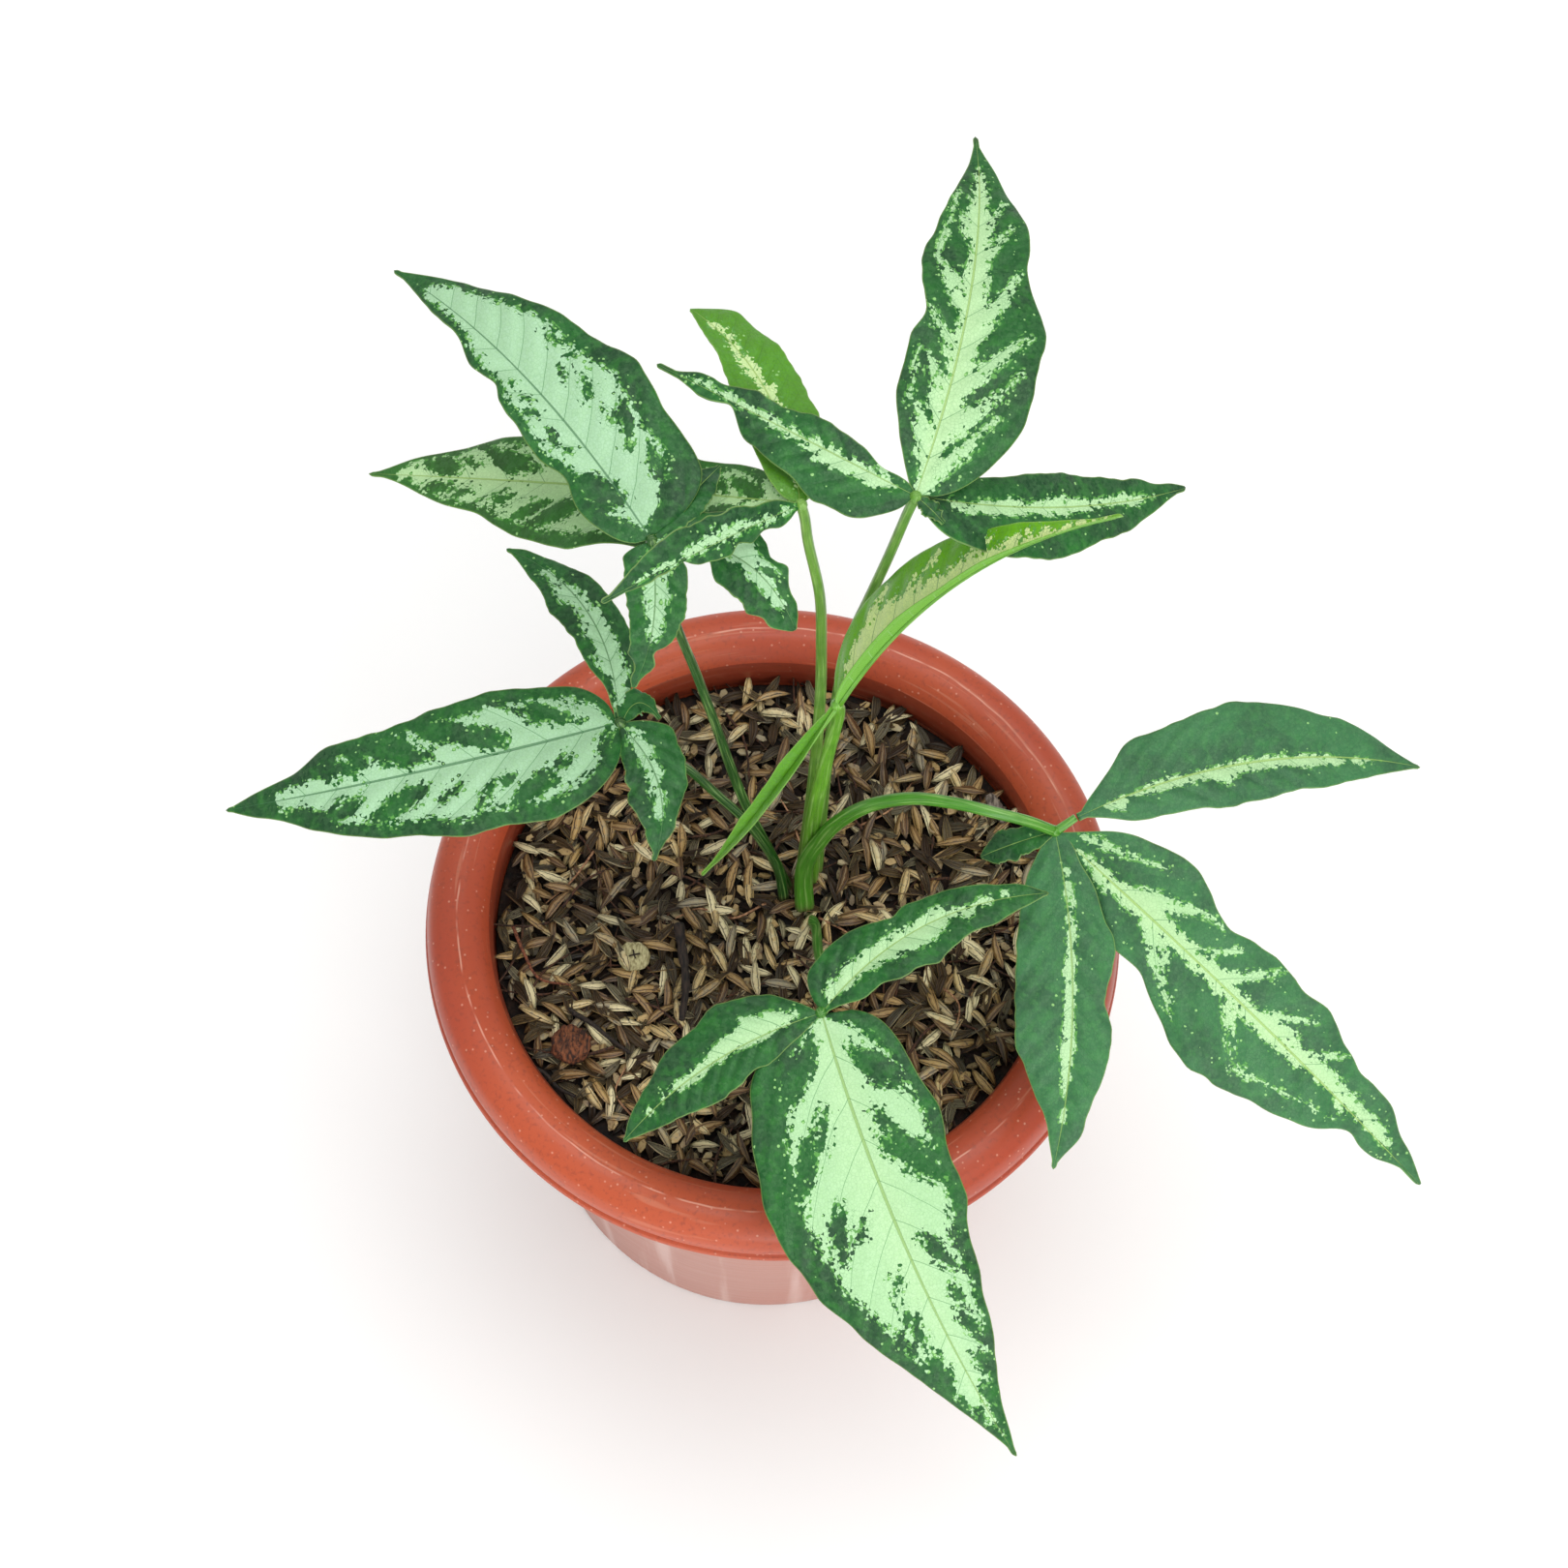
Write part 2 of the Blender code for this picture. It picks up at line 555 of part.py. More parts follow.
def make_soil(collection, holes):
    """The root ball with its husks fused in relief, and a plain hole for each clump of stalks."""
    ball = turned("soil_ball", soil_profile(), False, collection)
    draw = random.Random(HUSK_SEED)
    husks = []
    for index, (x, y, heading, tilt, half) in enumerate(husk_places(draw)):
        work = bmesh.new()
        bmesh.ops.create_uvsphere(work, u_segments=4, v_segments=3, radius=1.0)
        lie = Matrix.Rotation(math.pi / 2, 4, "Y")
        size = Matrix.Diagonal((half, HUSK_WIDTH / 2 * draw.uniform(0.85, 1.15), HUSK_THICKNESS / 2, 1.0))
        turn = Euler((draw.uniform(-0.3, 0.3), tilt, heading)).to_matrix().to_4x4()
        place = Matrix.Translation((x, y, surface_height(x, y) + draw.uniform(-0.2, 0.6)))
        bmesh.ops.transform(work, matrix=Matrix.Scale(MM, 4) @ place @ turn @ size @ lie, verts=work.verts)
        husk = bpy.data.meshes.new(f"husk_{index}")
        work.to_mesh(husk)
        work.free()
        husks.append(new_object(f"husk_{index}", husk, collection))
    finish = material("rice husk mix", HUSK_BROWN, 0.9)
    # EXACT leaves husks that touch along an edge
    whole = union("soil_whole", ball, husks, collection, finish, solver="MANIFOLD")
    cut(whole, holes)
    soil = new_object("soil", evaluated_mesh(whole), collection)
    bpy.data.objects.remove(whole, do_unlink=True)
    drop_scraps(soil.data)
    return soil


def drop_scraps(mesh):
    """Keeps the mesh's largest connected body: the holes can part a scrap of mix from the rest."""
    work = bmesh.new()
    work.from_mesh(mesh)
    left = set(work.verts)
    bodies = []
    while left:
        front = [left.pop()]
        body = set(front)
        while front:
            vertex = front.pop()
            linked = {edge.other_vert(vertex) for edge in vertex.link_edges} & left
            left -= linked
            body |= linked
            front += linked
        bodies.append(body)
    largest = max(bodies, key=len)
    scraps = [vertex for vertex in work.verts if vertex not in largest]
    bmesh.ops.delete(work, geom=scraps, context="VERTS")
    work.to_mesh(mesh)
    work.free()


def on_surface(name, thing, place, half_height, collection, finish):
    """Seats a primitive on the mix with the usual gap and gives it its finish."""
    thing.name = name
    thing.location = Vector((*place, surface_height(*place) + GAP + half_height)) * MM
    thing.users_collection[0].objects.unlink(thing)
    collection.objects.link(thing)
    thing.data.materials.append(finish)
    return thing


def make_loose_pieces(collection):
    """The wood disc, twig, bark chip and clay lump that lie on the mix."""
    bpy.ops.mesh.primitive_cylinder_add(
        vertices=14, radius=WOOD_DISC_RADIUS * MM, depth=WOOD_DISC_THICKNESS * MM)
    on_surface("wood_disc", bpy.context.object, WOOD_DISC_PLACE, WOOD_DISC_THICKNESS / 2, collection,
               material("dry wood", WOOD_PALE, 0.8))
    (ax, ay), (bx, by) = TWIG_ENDS
    level = surface_height(ax, ay) + GAP + TWIG_RADIUS
    bend = (ax + 0.6 * (bx - ax) + 1.2, ay + 0.6 * (by - ay), level)
    twig = tube("twig", smooth_route([(ax, ay, level), bend, (bx, by, level)], 3),
                lambda along: TWIG_RADIUS * (1 - 0.35 * along), collection)
    twig.data.materials.append(material("dark twig", TWIG_BROWN, 0.85))
    bpy.ops.mesh.primitive_cube_add(size=MM)
    chip = bpy.context.object
    for corner in chip.data.vertices:
        corner.co = [value * side for value, side in zip(corner.co, BARK_CHIP_SIZE)]
    on_surface("bark_chip", chip, BARK_CHIP_PLACE, BARK_CHIP_SIZE[2] / 2, collection,
               material("grey bark", BARK_GREY, 0.9))
    chip.rotation_euler.z = math.radians(BARK_CHIP_HEADING)
    bpy.ops.mesh.primitive_ico_sphere_add(subdivisions=2, radius=MM / 2)
    lump = bpy.context.object
    for corner in lump.data.vertices:
        corner.co = [value * side for value, side in zip(corner.co, CLAY_LUMP_SIZE)]
    on_surface("clay_lump", lump, CLAY_LUMP_PLACE, CLAY_LUMP_SIZE[2] / 2, collection,
               material("dry clay", CLAY_RED, 0.9))


def main():
    clear_scene()
    plant = new_collection("potted_arrowhead_plant")
    cutters = new_collection("cutters", helper=True)
    green = material("leaf stalk", STALK_GREEN, 0.4)
    make_pot(plant, cutters)
    main_leaves = {key: leaf for key, leaf in LEAVES.items() if not leaf.side_shoot}
    side_leaves = {key: leaf for key, leaf in LEAVES.items() if leaf.side_shoot}
    _, main_hole = make_stalks("stalks_main", main_leaves, plant, cutters, green)
    _, side_hole = make_stalks("stalks_side", side_leaves, plant, cutters, green)
    for key, leaf in LEAVES.items():
        make_blade(key, leaf, plant)
    make_soil(plant, [main_hole, side_hole])
    make_loose_pieces(plant)


main()
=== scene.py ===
"""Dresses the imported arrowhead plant: variegated leaves, stalks, husk-topped mix and a moulded pot.

Sizes are in millimetres from the centre of the pot's foot and become metres where a mesh is made.
"""

import logging
import math
from collections.abc import Callable
from dataclasses import dataclass, field
from enum import Enum

import bpy
import numpy as np
from mathutils import Matrix, Vector, noise


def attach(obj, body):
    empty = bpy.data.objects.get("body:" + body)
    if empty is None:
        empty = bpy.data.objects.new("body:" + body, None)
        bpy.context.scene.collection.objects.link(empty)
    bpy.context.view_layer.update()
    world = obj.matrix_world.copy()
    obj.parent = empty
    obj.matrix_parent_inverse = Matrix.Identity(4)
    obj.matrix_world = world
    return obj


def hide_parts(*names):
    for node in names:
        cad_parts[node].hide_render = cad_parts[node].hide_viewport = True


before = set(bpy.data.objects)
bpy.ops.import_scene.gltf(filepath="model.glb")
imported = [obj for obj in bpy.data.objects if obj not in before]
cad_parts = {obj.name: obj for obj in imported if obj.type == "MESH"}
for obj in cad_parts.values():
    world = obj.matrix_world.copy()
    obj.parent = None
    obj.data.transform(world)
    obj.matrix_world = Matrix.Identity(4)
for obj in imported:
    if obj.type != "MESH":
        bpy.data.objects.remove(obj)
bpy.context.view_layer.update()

MM = 0.001
TURN = 2 * math.pi
BODY = "root"
SMOOTH = {"interpolation_type": "SMOOTHSTEP"}
VEIN_SLANT = 0.8  # how far a side vein moves forward for each millimetre outwards, at the midrib
VEIN_CURVE = 0.03  # how much more it does for each millimetre
TIP_START = 0.984  # share of a leaflet's length from which its tip is rounded
TIP_RADIUS = 0.65
NO_PALE = -0.15  # how far the pale reaches beyond its ends, as a share of the half width
FAR_INSIDE_GREEN = -9.0  # millimetres from the pale, in a leaflet that has none
Section = Callable[[float, np.ndarray], np.ndarray]  # the radius at each angle, for a share of the length
log = logging.getLogger("arrowhead plant")


class Scatter(Enum):
    """How many pieces of a kind of litter lie on the mix."""

    WHOLE_HUSKS = 1050
    SPLIT_HUSKS = 950
    CRUMBS = 900
    FIBRES = 130


class Slot(Enum):
    """Which finish of a blade a face takes."""

    LEAF = 0
    STALK = 1


class Side(Enum):
    """Which half of a leaflet is meant, as seen from its base with the upper face up."""

    LEFT = 0
    RIGHT = 1


def linear(colour: str) -> tuple[float, float, float, float]:
    """Turns an sRGB hex colour into linear red, green, blue and alpha.

    Args:
        colour: six hex digits.

    Returns:
        The linear colour with alpha 1.
    """
    shares = [int(colour[start:start + 2], 16) / 255 for start in (0, 2, 4)]
    red, green, blue = [share / 12.92 if share <= 0.04045 else ((share + 0.055) / 1.055) ** 2.4
                        for share in shares]
    return red, green, blue, 1.0


def unit(vectors: np.ndarray) -> np.ndarray:
    """Scales vectors to length one."""
    return vectors / np.maximum(np.linalg.norm(vectors, axis=-1, keepdims=True), 1e-9)


def dent(x: float, y: float, z: float = 0.0, scale: float = 1.0) -> float:
    """A smooth random height from -1 to 1, the same for the same place."""
    return noise.noise(Vector((x, y, z)) * scale)


def plain_round(start: float, stop: float) -> Section:
    """A round section whose radius goes evenly from one value to another."""
    return lambda share, angles: start + (stop - start) * share + 0 * angles


def smooth_route(points: tuple, pieces: int) -> np.ndarray:
    """Samples a Catmull-Rom curve.

    Args:
        points: places that the curve passes.
        pieces: stretches between two places.

    Returns:
        The points along the curve.
    """
    ends = np.array(points, float)
    padded = np.vstack([2 * ends[0] - ends[1], ends, 2 * ends[-1] - ends[-2]])
    t = (np.arange(pieces) / pieces)[:, None]
    rows = []
    for before, start, stop, after in zip(padded, padded[1:], padded[2:], padded[3:]):
        pull = (stop - before) * t + (2 * before - 5 * start + 4 * stop - after) * t ** 2
        rows.append(start + (pull + (3 * start - before - 3 * stop + after) * t ** 3) / 2)
    return np.vstack([*rows, ends[-1:]])


def grid_faces(rows: int, columns: int, closed: bool = True, start: int = 0) -> list[tuple]:
    """Joins rows of corners into four-sided faces.

    Args:
        rows: how many rows there are.
        columns: corners in each row.
        closed: whether each row is a ring.
        start: number of the first corner.

    Returns:
        The faces, row by row.
    """
    pairs = [(index, (index + 1) % columns) for index in range(columns if closed else columns - 1)]
    return [(low + a, low + columns + a, low + columns + b, low + b)
            for low in range(start, start + (rows - 1) * columns, columns) for a, b in pairs]


def closed_faces(rings: int, sides: int) -> list[tuple]:
    """Joins rings of corners, and closes both ends at the two corners that follow the rings.

    Args:
        rings: how many rings there are.
        sides: corners in each ring.

    Returns:
        The faces, which point outwards where the rings turn anticlockwise as seen from the first end.
    """
    faces, last, end = grid_faces(rings, sides), (rings - 1) * sides, rings * sides
    for index in range(sides):
        after = (index + 1) % sides
        faces += [(index, after, end), (last + after, last + index, end + 1)]
    return faces


def bar_faces(rings: int, sides: int) -> list[tuple]:
    """Joins rings of corners, and closes the first and the last with a flat end.

    Args:
        rings: how many rings there are.
        sides: corners in each ring.

    Returns:
        The faces, which point outwards where the rings turn anticlockwise as seen from the last end.
    """
    last = (rings - 1) * sides
    ends = [tuple(range(sides))[::-1], tuple(range(last, last + sides))]
    return ends + [face[::-1] for face in grid_faces(rings, sides)]


def turned(profile: list, sides: int) -> tuple[np.ndarray, list]:
    """Turns a section around the upright axis.

    Args:
        profile: radius and height of each point, with the first and the last on the axis.
        sides: corners around.

    Returns:
        Corners and faces.
    """
    angles = TURN * np.arange(sides) / sides
    radius, level = np.array(profile[1:-1], float).T[..., None]
    rings = np.stack(np.broadcast_arrays(radius * np.cos(angles), radius * np.sin(angles), level), -1)
    ends = [(0.0, 0.0, profile[0][1]), (0.0, 0.0, profile[-1][1])]
    return np.vstack([rings.reshape(-1, 3), ends]), closed_faces(len(profile) - 2, sides)


def swept(route: np.ndarray, section: Section, sides: int,
          upright: tuple = (0, 0, 1)) -> tuple[np.ndarray, list, np.ndarray]:
    """Sweeps a changing round section along a route and closes its ends.

    Args:
        route: points along the middle.
        section: gives the radius at each angle, from the share of the length.
        sides: corners around.
        upright: the direction that angle zero keeps to, as far as the route allows.

    Returns:
        Corners, faces, and each corner's place: share around, millimetres along, share along.
    """
    tangents = unit(np.gradient(route, axis=0))
    length = np.concatenate([[0], np.cumsum(np.linalg.norm(np.diff(route, axis=0), axis=1))])
    angles = TURN * np.arange(sides) / sides
    up = unit(np.array(upright, float) - tangents * (tangents @ np.array(upright, float))[:, None])
    side = np.cross(tangents, up)
    share = length / length[-1]
    reach = np.array([section(value, angles) for value in share])
    rings = (route[:, None] + up[:, None] * (np.cos(angles) * reach)[..., None]
             + side[:, None] * (np.sin(angles) * reach)[..., None])
    corners = np.vstack([rings.reshape(-1, 3), route[:1], route[-1:]])
    around = np.broadcast_arrays(angles / TURN, length[:, None], share[:, None])
    place = np.vstack([np.stack(around, -1).reshape(-1, 3), [(0, 0, 0), (0, length[-1], 1)]])
    return corners, [(face[0], *face[:0:-1]) for face in closed_faces(len(route), sides)], place


def put_in_scene(name: str, mesh: bpy.types.Mesh) -> bpy.types.Object:
    """Makes a mesh an object at the origin.

    Args:
        name: the object's name.
        mesh: its mesh.

    Returns:
        The object.
    """
    made = bpy.data.objects.new(name, mesh)
    bpy.context.scene.collection.objects.link(made)
    return made


def dress(piece: bpy.types.Object, slot: str, *nodes: str) -> None:
    """Lets a finished piece ride on the plant and stand for its nodes.

    Args:
        piece: the finished object.
        slot: the record's material slot; not used.
        nodes: the CAD nodes that it replaces.
    """
    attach(piece, BODY)
    if nodes:
        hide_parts(*nodes)
    log.info("%s: %d faces", piece.name, len(piece.data.polygons))


@dataclass
class Shell:
    """Shapes gathered before they become one mesh."""

    shapes: list = field(default_factory=list)

    def add(self, corners: np.ndarray | list, faces: list, slot: Slot = Slot.LEAF,
            **values: np.ndarray | list | tuple) -> "Shell":
        """Adds a shape.

        Args:
            corners: its corners in millimetres, one row each.
            faces: corner numbers of each face.
            slot: the finish that its faces take.
            values: vectors that the finish reads at each corner, by attribute name.

        Returns:
            The shell itself.
        """
        self.shapes.append((np.asarray(corners, float), faces, slot.value, values))
        return self

    def build(self, name: str, *finishes: bpy.types.Material, smooth: bool = True) -> bpy.types.Object:
        """Makes the object.

        Args:
            name: the piece's name.
            finishes: its materials in slot order.
            smooth: whether it is shaded smooth.

        Returns:
            The object, at the origin.
        """
        all_corners, all_faces, slots, all_values = zip(*self.shapes)
        starts = np.cumsum([0, *map(len, all_corners)]).tolist()
        faces = [tuple(corner + start for corner in face)
                 for group, start in zip(all_faces, starts) for face in group]
        mesh = bpy.data.meshes.new(name)
        mesh.from_pydata((np.vstack(all_corners) * MM).tolist(), [], faces)
        for finish in finishes:
            mesh.materials.append(finish)
        mesh.polygons.foreach_set("material_index", np.repeat(slots, [*map(len, all_faces)]))
        mesh.polygons.foreach_set("use_smooth", [smooth] * len(mesh.polygons))
        for key in sorted({key for values in all_values for key in values}):
            rows = [np.broadcast_to(values.get(key, (0, 0, 0)), corners.shape)
                    for corners, values in zip(all_corners, all_values)]
            layer = mesh.attributes.new(key, "FLOAT_VECTOR", "POINT")
            layer.data.foreach_set("vector", np.vstack(rows).astype(np.float32).ravel())
        mesh.update()
        return put_in_scene(name, mesh)


@dataclass(frozen=True, eq=False)
class Term:
    """What a node gives. The signs + - * / < > join it with another value."""

    graph: "Graph"
    socket: bpy.types.NodeSocket

    def __add__(self, other: object) -> "Term":
        """The sum."""
        return self.graph.add("Math", self, other, operation="ADD")

    def __sub__(self, other: object) -> "Term":
        """The difference."""
        return self.graph.add("Math", self, other, operation="SUBTRACT")

    def __rsub__(self, other: object) -> "Term":
        """The difference from a number."""
        return self.graph.add("Math", other, self, operation="SUBTRACT")

    def __mul__(self, other: object) -> "Term":
        """The product."""
        return self.graph.add("Math", self, other, operation="MULTIPLY")

    def __truediv__(self, other: object) -> "Term":
        """The quotient."""
        return self.graph.add("Math", self, other, operation="DIVIDE")

    def __gt__(self, other: object) -> "Term":
        """1 where this is the larger, else 0."""
        return self.graph.add("Math", self, other, operation="GREATER_THAN")

    def __lt__(self, other: object) -> "Term":
        """1 where this is the smaller, else 0."""
        return self.graph.add("Math", self, other, operation="LESS_THAN")

    def __abs__(self) -> "Term":
        """The size without its sign."""
        return self.graph.add("Math", self, operation="ABSOLUTE")


@dataclass(eq=False)
class Graph:
    """A node tree under construction."""

    tree: bpy.types.NodeTree

    def add(self, kind: str, *values: object, out: int | str | tuple | None = 0, put: dict | None = None,
            **settings: object) -> Term | tuple[Term, ...] | None:
        """Adds a node with its settings and links.

        Args:
            kind: the node's type, where a shader node's needs no prefix.
            values: what goes into its first inputs, None to leave one as it is.
            out: the output to hand back, or several, or None for all of them.
            put: what goes into inputs by name or number.
            settings: properties of the node.

        Returns:
            The output or outputs, or None where it has none.
        """
        made = self.tree.nodes.new(kind if "Node" in kind else f"ShaderNode{kind}")
        for name, value in settings.items():
            setattr(made, name, value)
        self.fill(made, {**dict(enumerate(values)), **(put or {})})
        if not made.outputs:
            return None
        if isinstance(out, (int, str)):
            return Term(self, made.outputs[out])
        keys = range(len(made.outputs)) if out is None else out
        return tuple(Term(self, made.outputs[key]) for key in keys)

    def fill(self, node: bpy.types.Node, values: dict) -> None:
        """Links terms to a node's inputs and sets the others.

        Args:
            node: the node.
            values: what goes in, by the input's name or number, None to leave one as it is.
        """
        for key, value in values.items():
            if isinstance(value, Term):
                self.tree.links.new(value.socket, node.inputs[key])
            elif value is not None:
                node.inputs[key].default_value = value

    def paint(self, base: object, *coats: tuple) -> Term:
        """Lays coats of colour over a base.

        Args:
            base: the colour below, as six hex digits or a term.
            coats: the share that each coat covers, and its colour.

        Returns:
            The colour on top.
        """
        for share, colour in coats:
            under, over = [linear(part) if isinstance(part, str) else part for part in (base, colour)]
            base = self.add("Mix", put={0: share, 6: under, 7: over}, out=2, data_type="RGBA")
        return base

    def finish(self, colour: object, roughness: object, height: Term, depth: float, strength: float,
               **surface: object) -> None:
        """Ends a material in its Principled shader, with a bump.

        Args:
            colour: base colour.
            roughness: a number or a term.
            height: the bump's height, 0 to 1.
            depth: how deep the bump is, in millimetres.
            strength: the bump's strength.
            surface: more values for the shader's own sockets, with _ for each space.
        """
        bump = self.add("Bump", put={"Strength": strength, "Distance": depth * MM, "Height": height})
        self.fill(self.tree.nodes["Principled BSDF"], {
            "Base Color": colour, "Roughness": roughness, "Normal": bump,
            **{name.replace("_", " "): value for name, value in surface.items()}})


def new_material(name: str) -> tuple[bpy.types.Material, Graph]:
    """Starts a material with a Principled shader.

    Args:
        name: what the real material is.

    Returns:
        The material and its graph.
    """
    made = bpy.data.materials.new(name)
    made.use_nodes = True
    return made, Graph(made.node_tree)


def new_group(name: str, **inputs: str) -> tuple[bpy.types.GeometryNodeTree, Graph, tuple[Term, ...]]:
    """Starts a Geometry Nodes group, whose first input is the geometry that its modifier sits on.

    Args:
        name: the group's name.
        inputs: the kind of each input, by its name.

    Returns:
        The group, its graph and what comes in.
    """
    tree = bpy.data.node_groups.new(name, "GeometryNodeTree")
    tree.interface.new_socket("Result", in_out="OUTPUT", socket_type="NodeSocketGeometry")
    for key, kind in inputs.items():
        tree.interface.new_socket(key, in_out="INPUT", socket_type=f"NodeSocket{kind}")
    g = Graph(tree)
    return tree, g, g.add("NodeGroupInput", out=tuple(inputs))


def run_group(name: str, source: bpy.types.Object, tree: bpy.types.GeometryNodeTree,
              **values: object) -> bpy.types.Object:
    """Runs a Geometry Nodes group on an object's mesh and makes the result a plain mesh.

    Args:
        name: the new piece's name.
        source: the object whose mesh goes in; it stays as it is.
        tree: the group.
        values: the group's other inputs, by name.

    Returns:
        The piece, which has no modifier.
    """
    holder = put_in_scene(name + "_source", source.data)
    modifier = holder.modifiers.new("nodes", "NODES")
    modifier.node_group = tree
    for item in tree.interface.items_tree:
        if item.in_out == "INPUT" and item.name in values:
            modifier[item.identifier] = values[item.name]
    mesh = bpy.data.meshes.new_from_object(holder.evaluated_get(bpy.context.evaluated_depsgraph_get()))
    bpy.data.objects.remove(holder, do_unlink=True)
    if mesh.materials[0] is None:  # the empty slot of what came in without a finish
        mesh.materials.pop(index=0)
    mesh.name = name
    return put_in_scene(name, mesh)


@dataclass(frozen=True)
class LeafBlade:
    """Living leaf blade: a thin satin wax over green cells, so the eye sees soft sheen on a quilted skin.

    Cells without green make it pale. The pale breaks up into single cells and slanted tongues at its edge.
    """

    name: str = "waxy leaf blade"
    dark: str = "15581F"
    deep: str = "113F1D"
    lively: str = "2E7A26"
    # painted sheen: a milky green laid over the dark green where the wax would reflect light
    painted_sheen: str = "5F9A70"
    young: str = "6CB018"
    mint: str = "AED69D"
    cream: str = "C2E2A8"
    silver: str = "A8D0A8"
    young_pale: str = "E2F2A2"
    fringe: str = "5FA048"
    speck: str = "94C878"
    under: str = "7FA87B"
    under_pale: str = "A9C9A0"
    margin: str = "9DBB62"
    cell: float = 0.75  # the smallest cells between veins; real ones are half as wide, too fine to show
    flame: float = 2.4  # width of a tongue of green cells
    cloud: float = 11.0  # width of a lighter or darker area
    mottle: float = 2.5  # width of a livelier spot
    pore: float = 0.8  # width of a bump in the wax; real ones are too fine to show
    waver: float = 9.0  # length over which a vein bends
    hem: float = 0.72  # where the vein along the edge runs, as a share of the half width

    def make(self) -> bpy.types.Material:
        """Builds the material from the values that each blade carries at its corners.

        Returns:
            The material.
        """
        made, g = new_material(self.name)
        place, form, tone, look = [g.add("Attribute", out="Vector", attribute_name=f"leaf_{kind}")
                                   for kind in ("place", "form", "tone", "look")]
        across, along, _ = g.add("SeparateXYZ", place, out=None)
        inner, half, spacing = g.add("SeparateXYZ", form, out=None)
        silver, youth, lower = g.add("SeparateXYZ", tone, out=None)
        fringe, sparks, painted_sheen = g.add("SeparateXYZ", look, out=None)
        pale, rim, spark, chance, edge = self.find_pale(g, place, inner, half, fringe, sparks)

        cloud = g.add("TexNoise", place, None, 1 / self.cloud, 3.0)
        mottle = g.add("TexNoise", place, None, 1 / self.mottle, 3.0)
        green = g.paint(
            self.dark,
            (g.add("MapRange", cloud, 0.38, 0.62, **SMOOTH), self.deep),
            (g.add("MapRange", mottle, 0.45, 0.7, 0.0, 0.45, **SMOOTH), self.lively),
            # painted sheen: a milky veil over the green, in clouds, on the leaflets that carry it
            (painted_sheen * g.add("MapRange", cloud, 0.3, 0.8, 0.9, 0.5, **SMOOTH), self.painted_sheen),
            (youth, self.young),
            (chance * 0.14, "6FA56A"))
        reach = abs(across)
        near = g.add("MapRange", reach / (half + 0.1), 0.0, 0.45, 0.6, 0.0, **SMOOTH)
        light = g.paint(self.mint, (near, self.cream), (silver, self.silver), (youth, self.young_pale),
                        (chance * 0.22, "8FBF7C"))
        colour = g.paint(green, (rim * 0.8, self.fringe), (spark * 0.85, self.speck), (pale, light))

        side_vein, midrib, net, swell = self.find_veins(g, place, reach, along, half, spacing)
        drawn = g.add("Math", side_vein * 0.75, net * edge, operation="MAXIMUM")
        brim = g.add("MapRange", half - reach, 0.05, 0.35, 0.4, 0.0, **SMOOTH)
        colour = g.paint(colour, (drawn * pale, "568C58"), (drawn * (1 - pale) * 0.3, "164022"),
                         (midrib * 0.75, g.paint("9DBF62", (silver, "42764A"))), (brim, self.margin))
        back = g.paint(self.under, (pale * 0.5, self.under_pale), (youth, "74B040"),
                       (side_vein * 0.4, self.under_pale))
        pore = g.add("TexNoise", place, None, 1 / self.pore, 3.0)
        height = swell * 1.2 + pore * 0.35 - midrib - net * 0.12
        rough = g.add("MapRange", pore, 0.3, 0.7, 0.38, 0.5) - youth * 0.12
        g.finish(g.paint(colour, (lower, back)), rough, height, 0.35, 0.6, Specular_IOR_Level=0.28)
        return made

    def find_pale(self, g: Graph, place: Term, inner: Term, half: Term, fringe: Term,
                  sparks: Term) -> tuple[Term, ...]:
        """Sorts the cells into pale and green ones.

        Args:
            g: the tree.
            place: millimetres across and along, and the leaflet's seed.
            inner: how far inside the pale tissue a place lies, in millimetres.
            half: half the leaflet's width.
            fringe: how ragged the pale edge is.
            sparks: how many single pale cells lie near the hem.

        Returns:
            Shares of pale, of the yellower cells around it and of single pale cells, a random number per
            cell, and how dark the net between cells is.
        """
        distance, colour, centre = g.add("TexVoronoi", place, None, 1 / self.cell,
                                         out=("Distance", "Color", "Position"))
        chance, luck, _ = g.add("SeparateXYZ", colour, out=None)
        across, along, seed = g.add("SeparateXYZ", centre, out=None)
        out = abs(across)
        flow = g.add("CombineXYZ", across * 0.35, along - out * (out * VEIN_CURVE + VEIN_SLANT), seed)
        flames = g.add("TexNoise", flow, None, 1 / self.flame, 4.0) - 0.5
        lumps = g.add("TexNoise", centre, None, 1 / self.flame, 3.0) - 0.5
        inside = inner + (flames * 4.5 + lumps * 3.0 + (chance - 0.5) * 0.9) * fringe
        holes = luck > 1 - g.add("MapRange", inside, 0.1, 2.0, 0.16, 0.0, **SMOOTH) * fringe
        pale = g.add("MapRange", inside, -0.02, 0.02, **SMOOTH) * (1 - holes)
        rim = g.add("MapRange", inside, -0.5, -0.35, **SMOOTH) * (chance > 0.4)
        hem = g.add("MapRange", abs(out / half - self.hem), 0.0, 0.12, 1.0, 0.0, **SMOOTH)
        close = g.add("MapRange", inside, -2.6, -0.2, 0.0, 0.22, **SMOOTH)
        crowd = luck + hem * sparks + close * fringe * (sparks + 0.4)
        spark = (crowd > 0.996) * (distance < chance * 0.25 + 0.25)
        edge = g.add("MapRange", inside, 0.0, 1.6, 0.8, 0.22, **SMOOTH)
        return pale, rim, spark, chance, edge

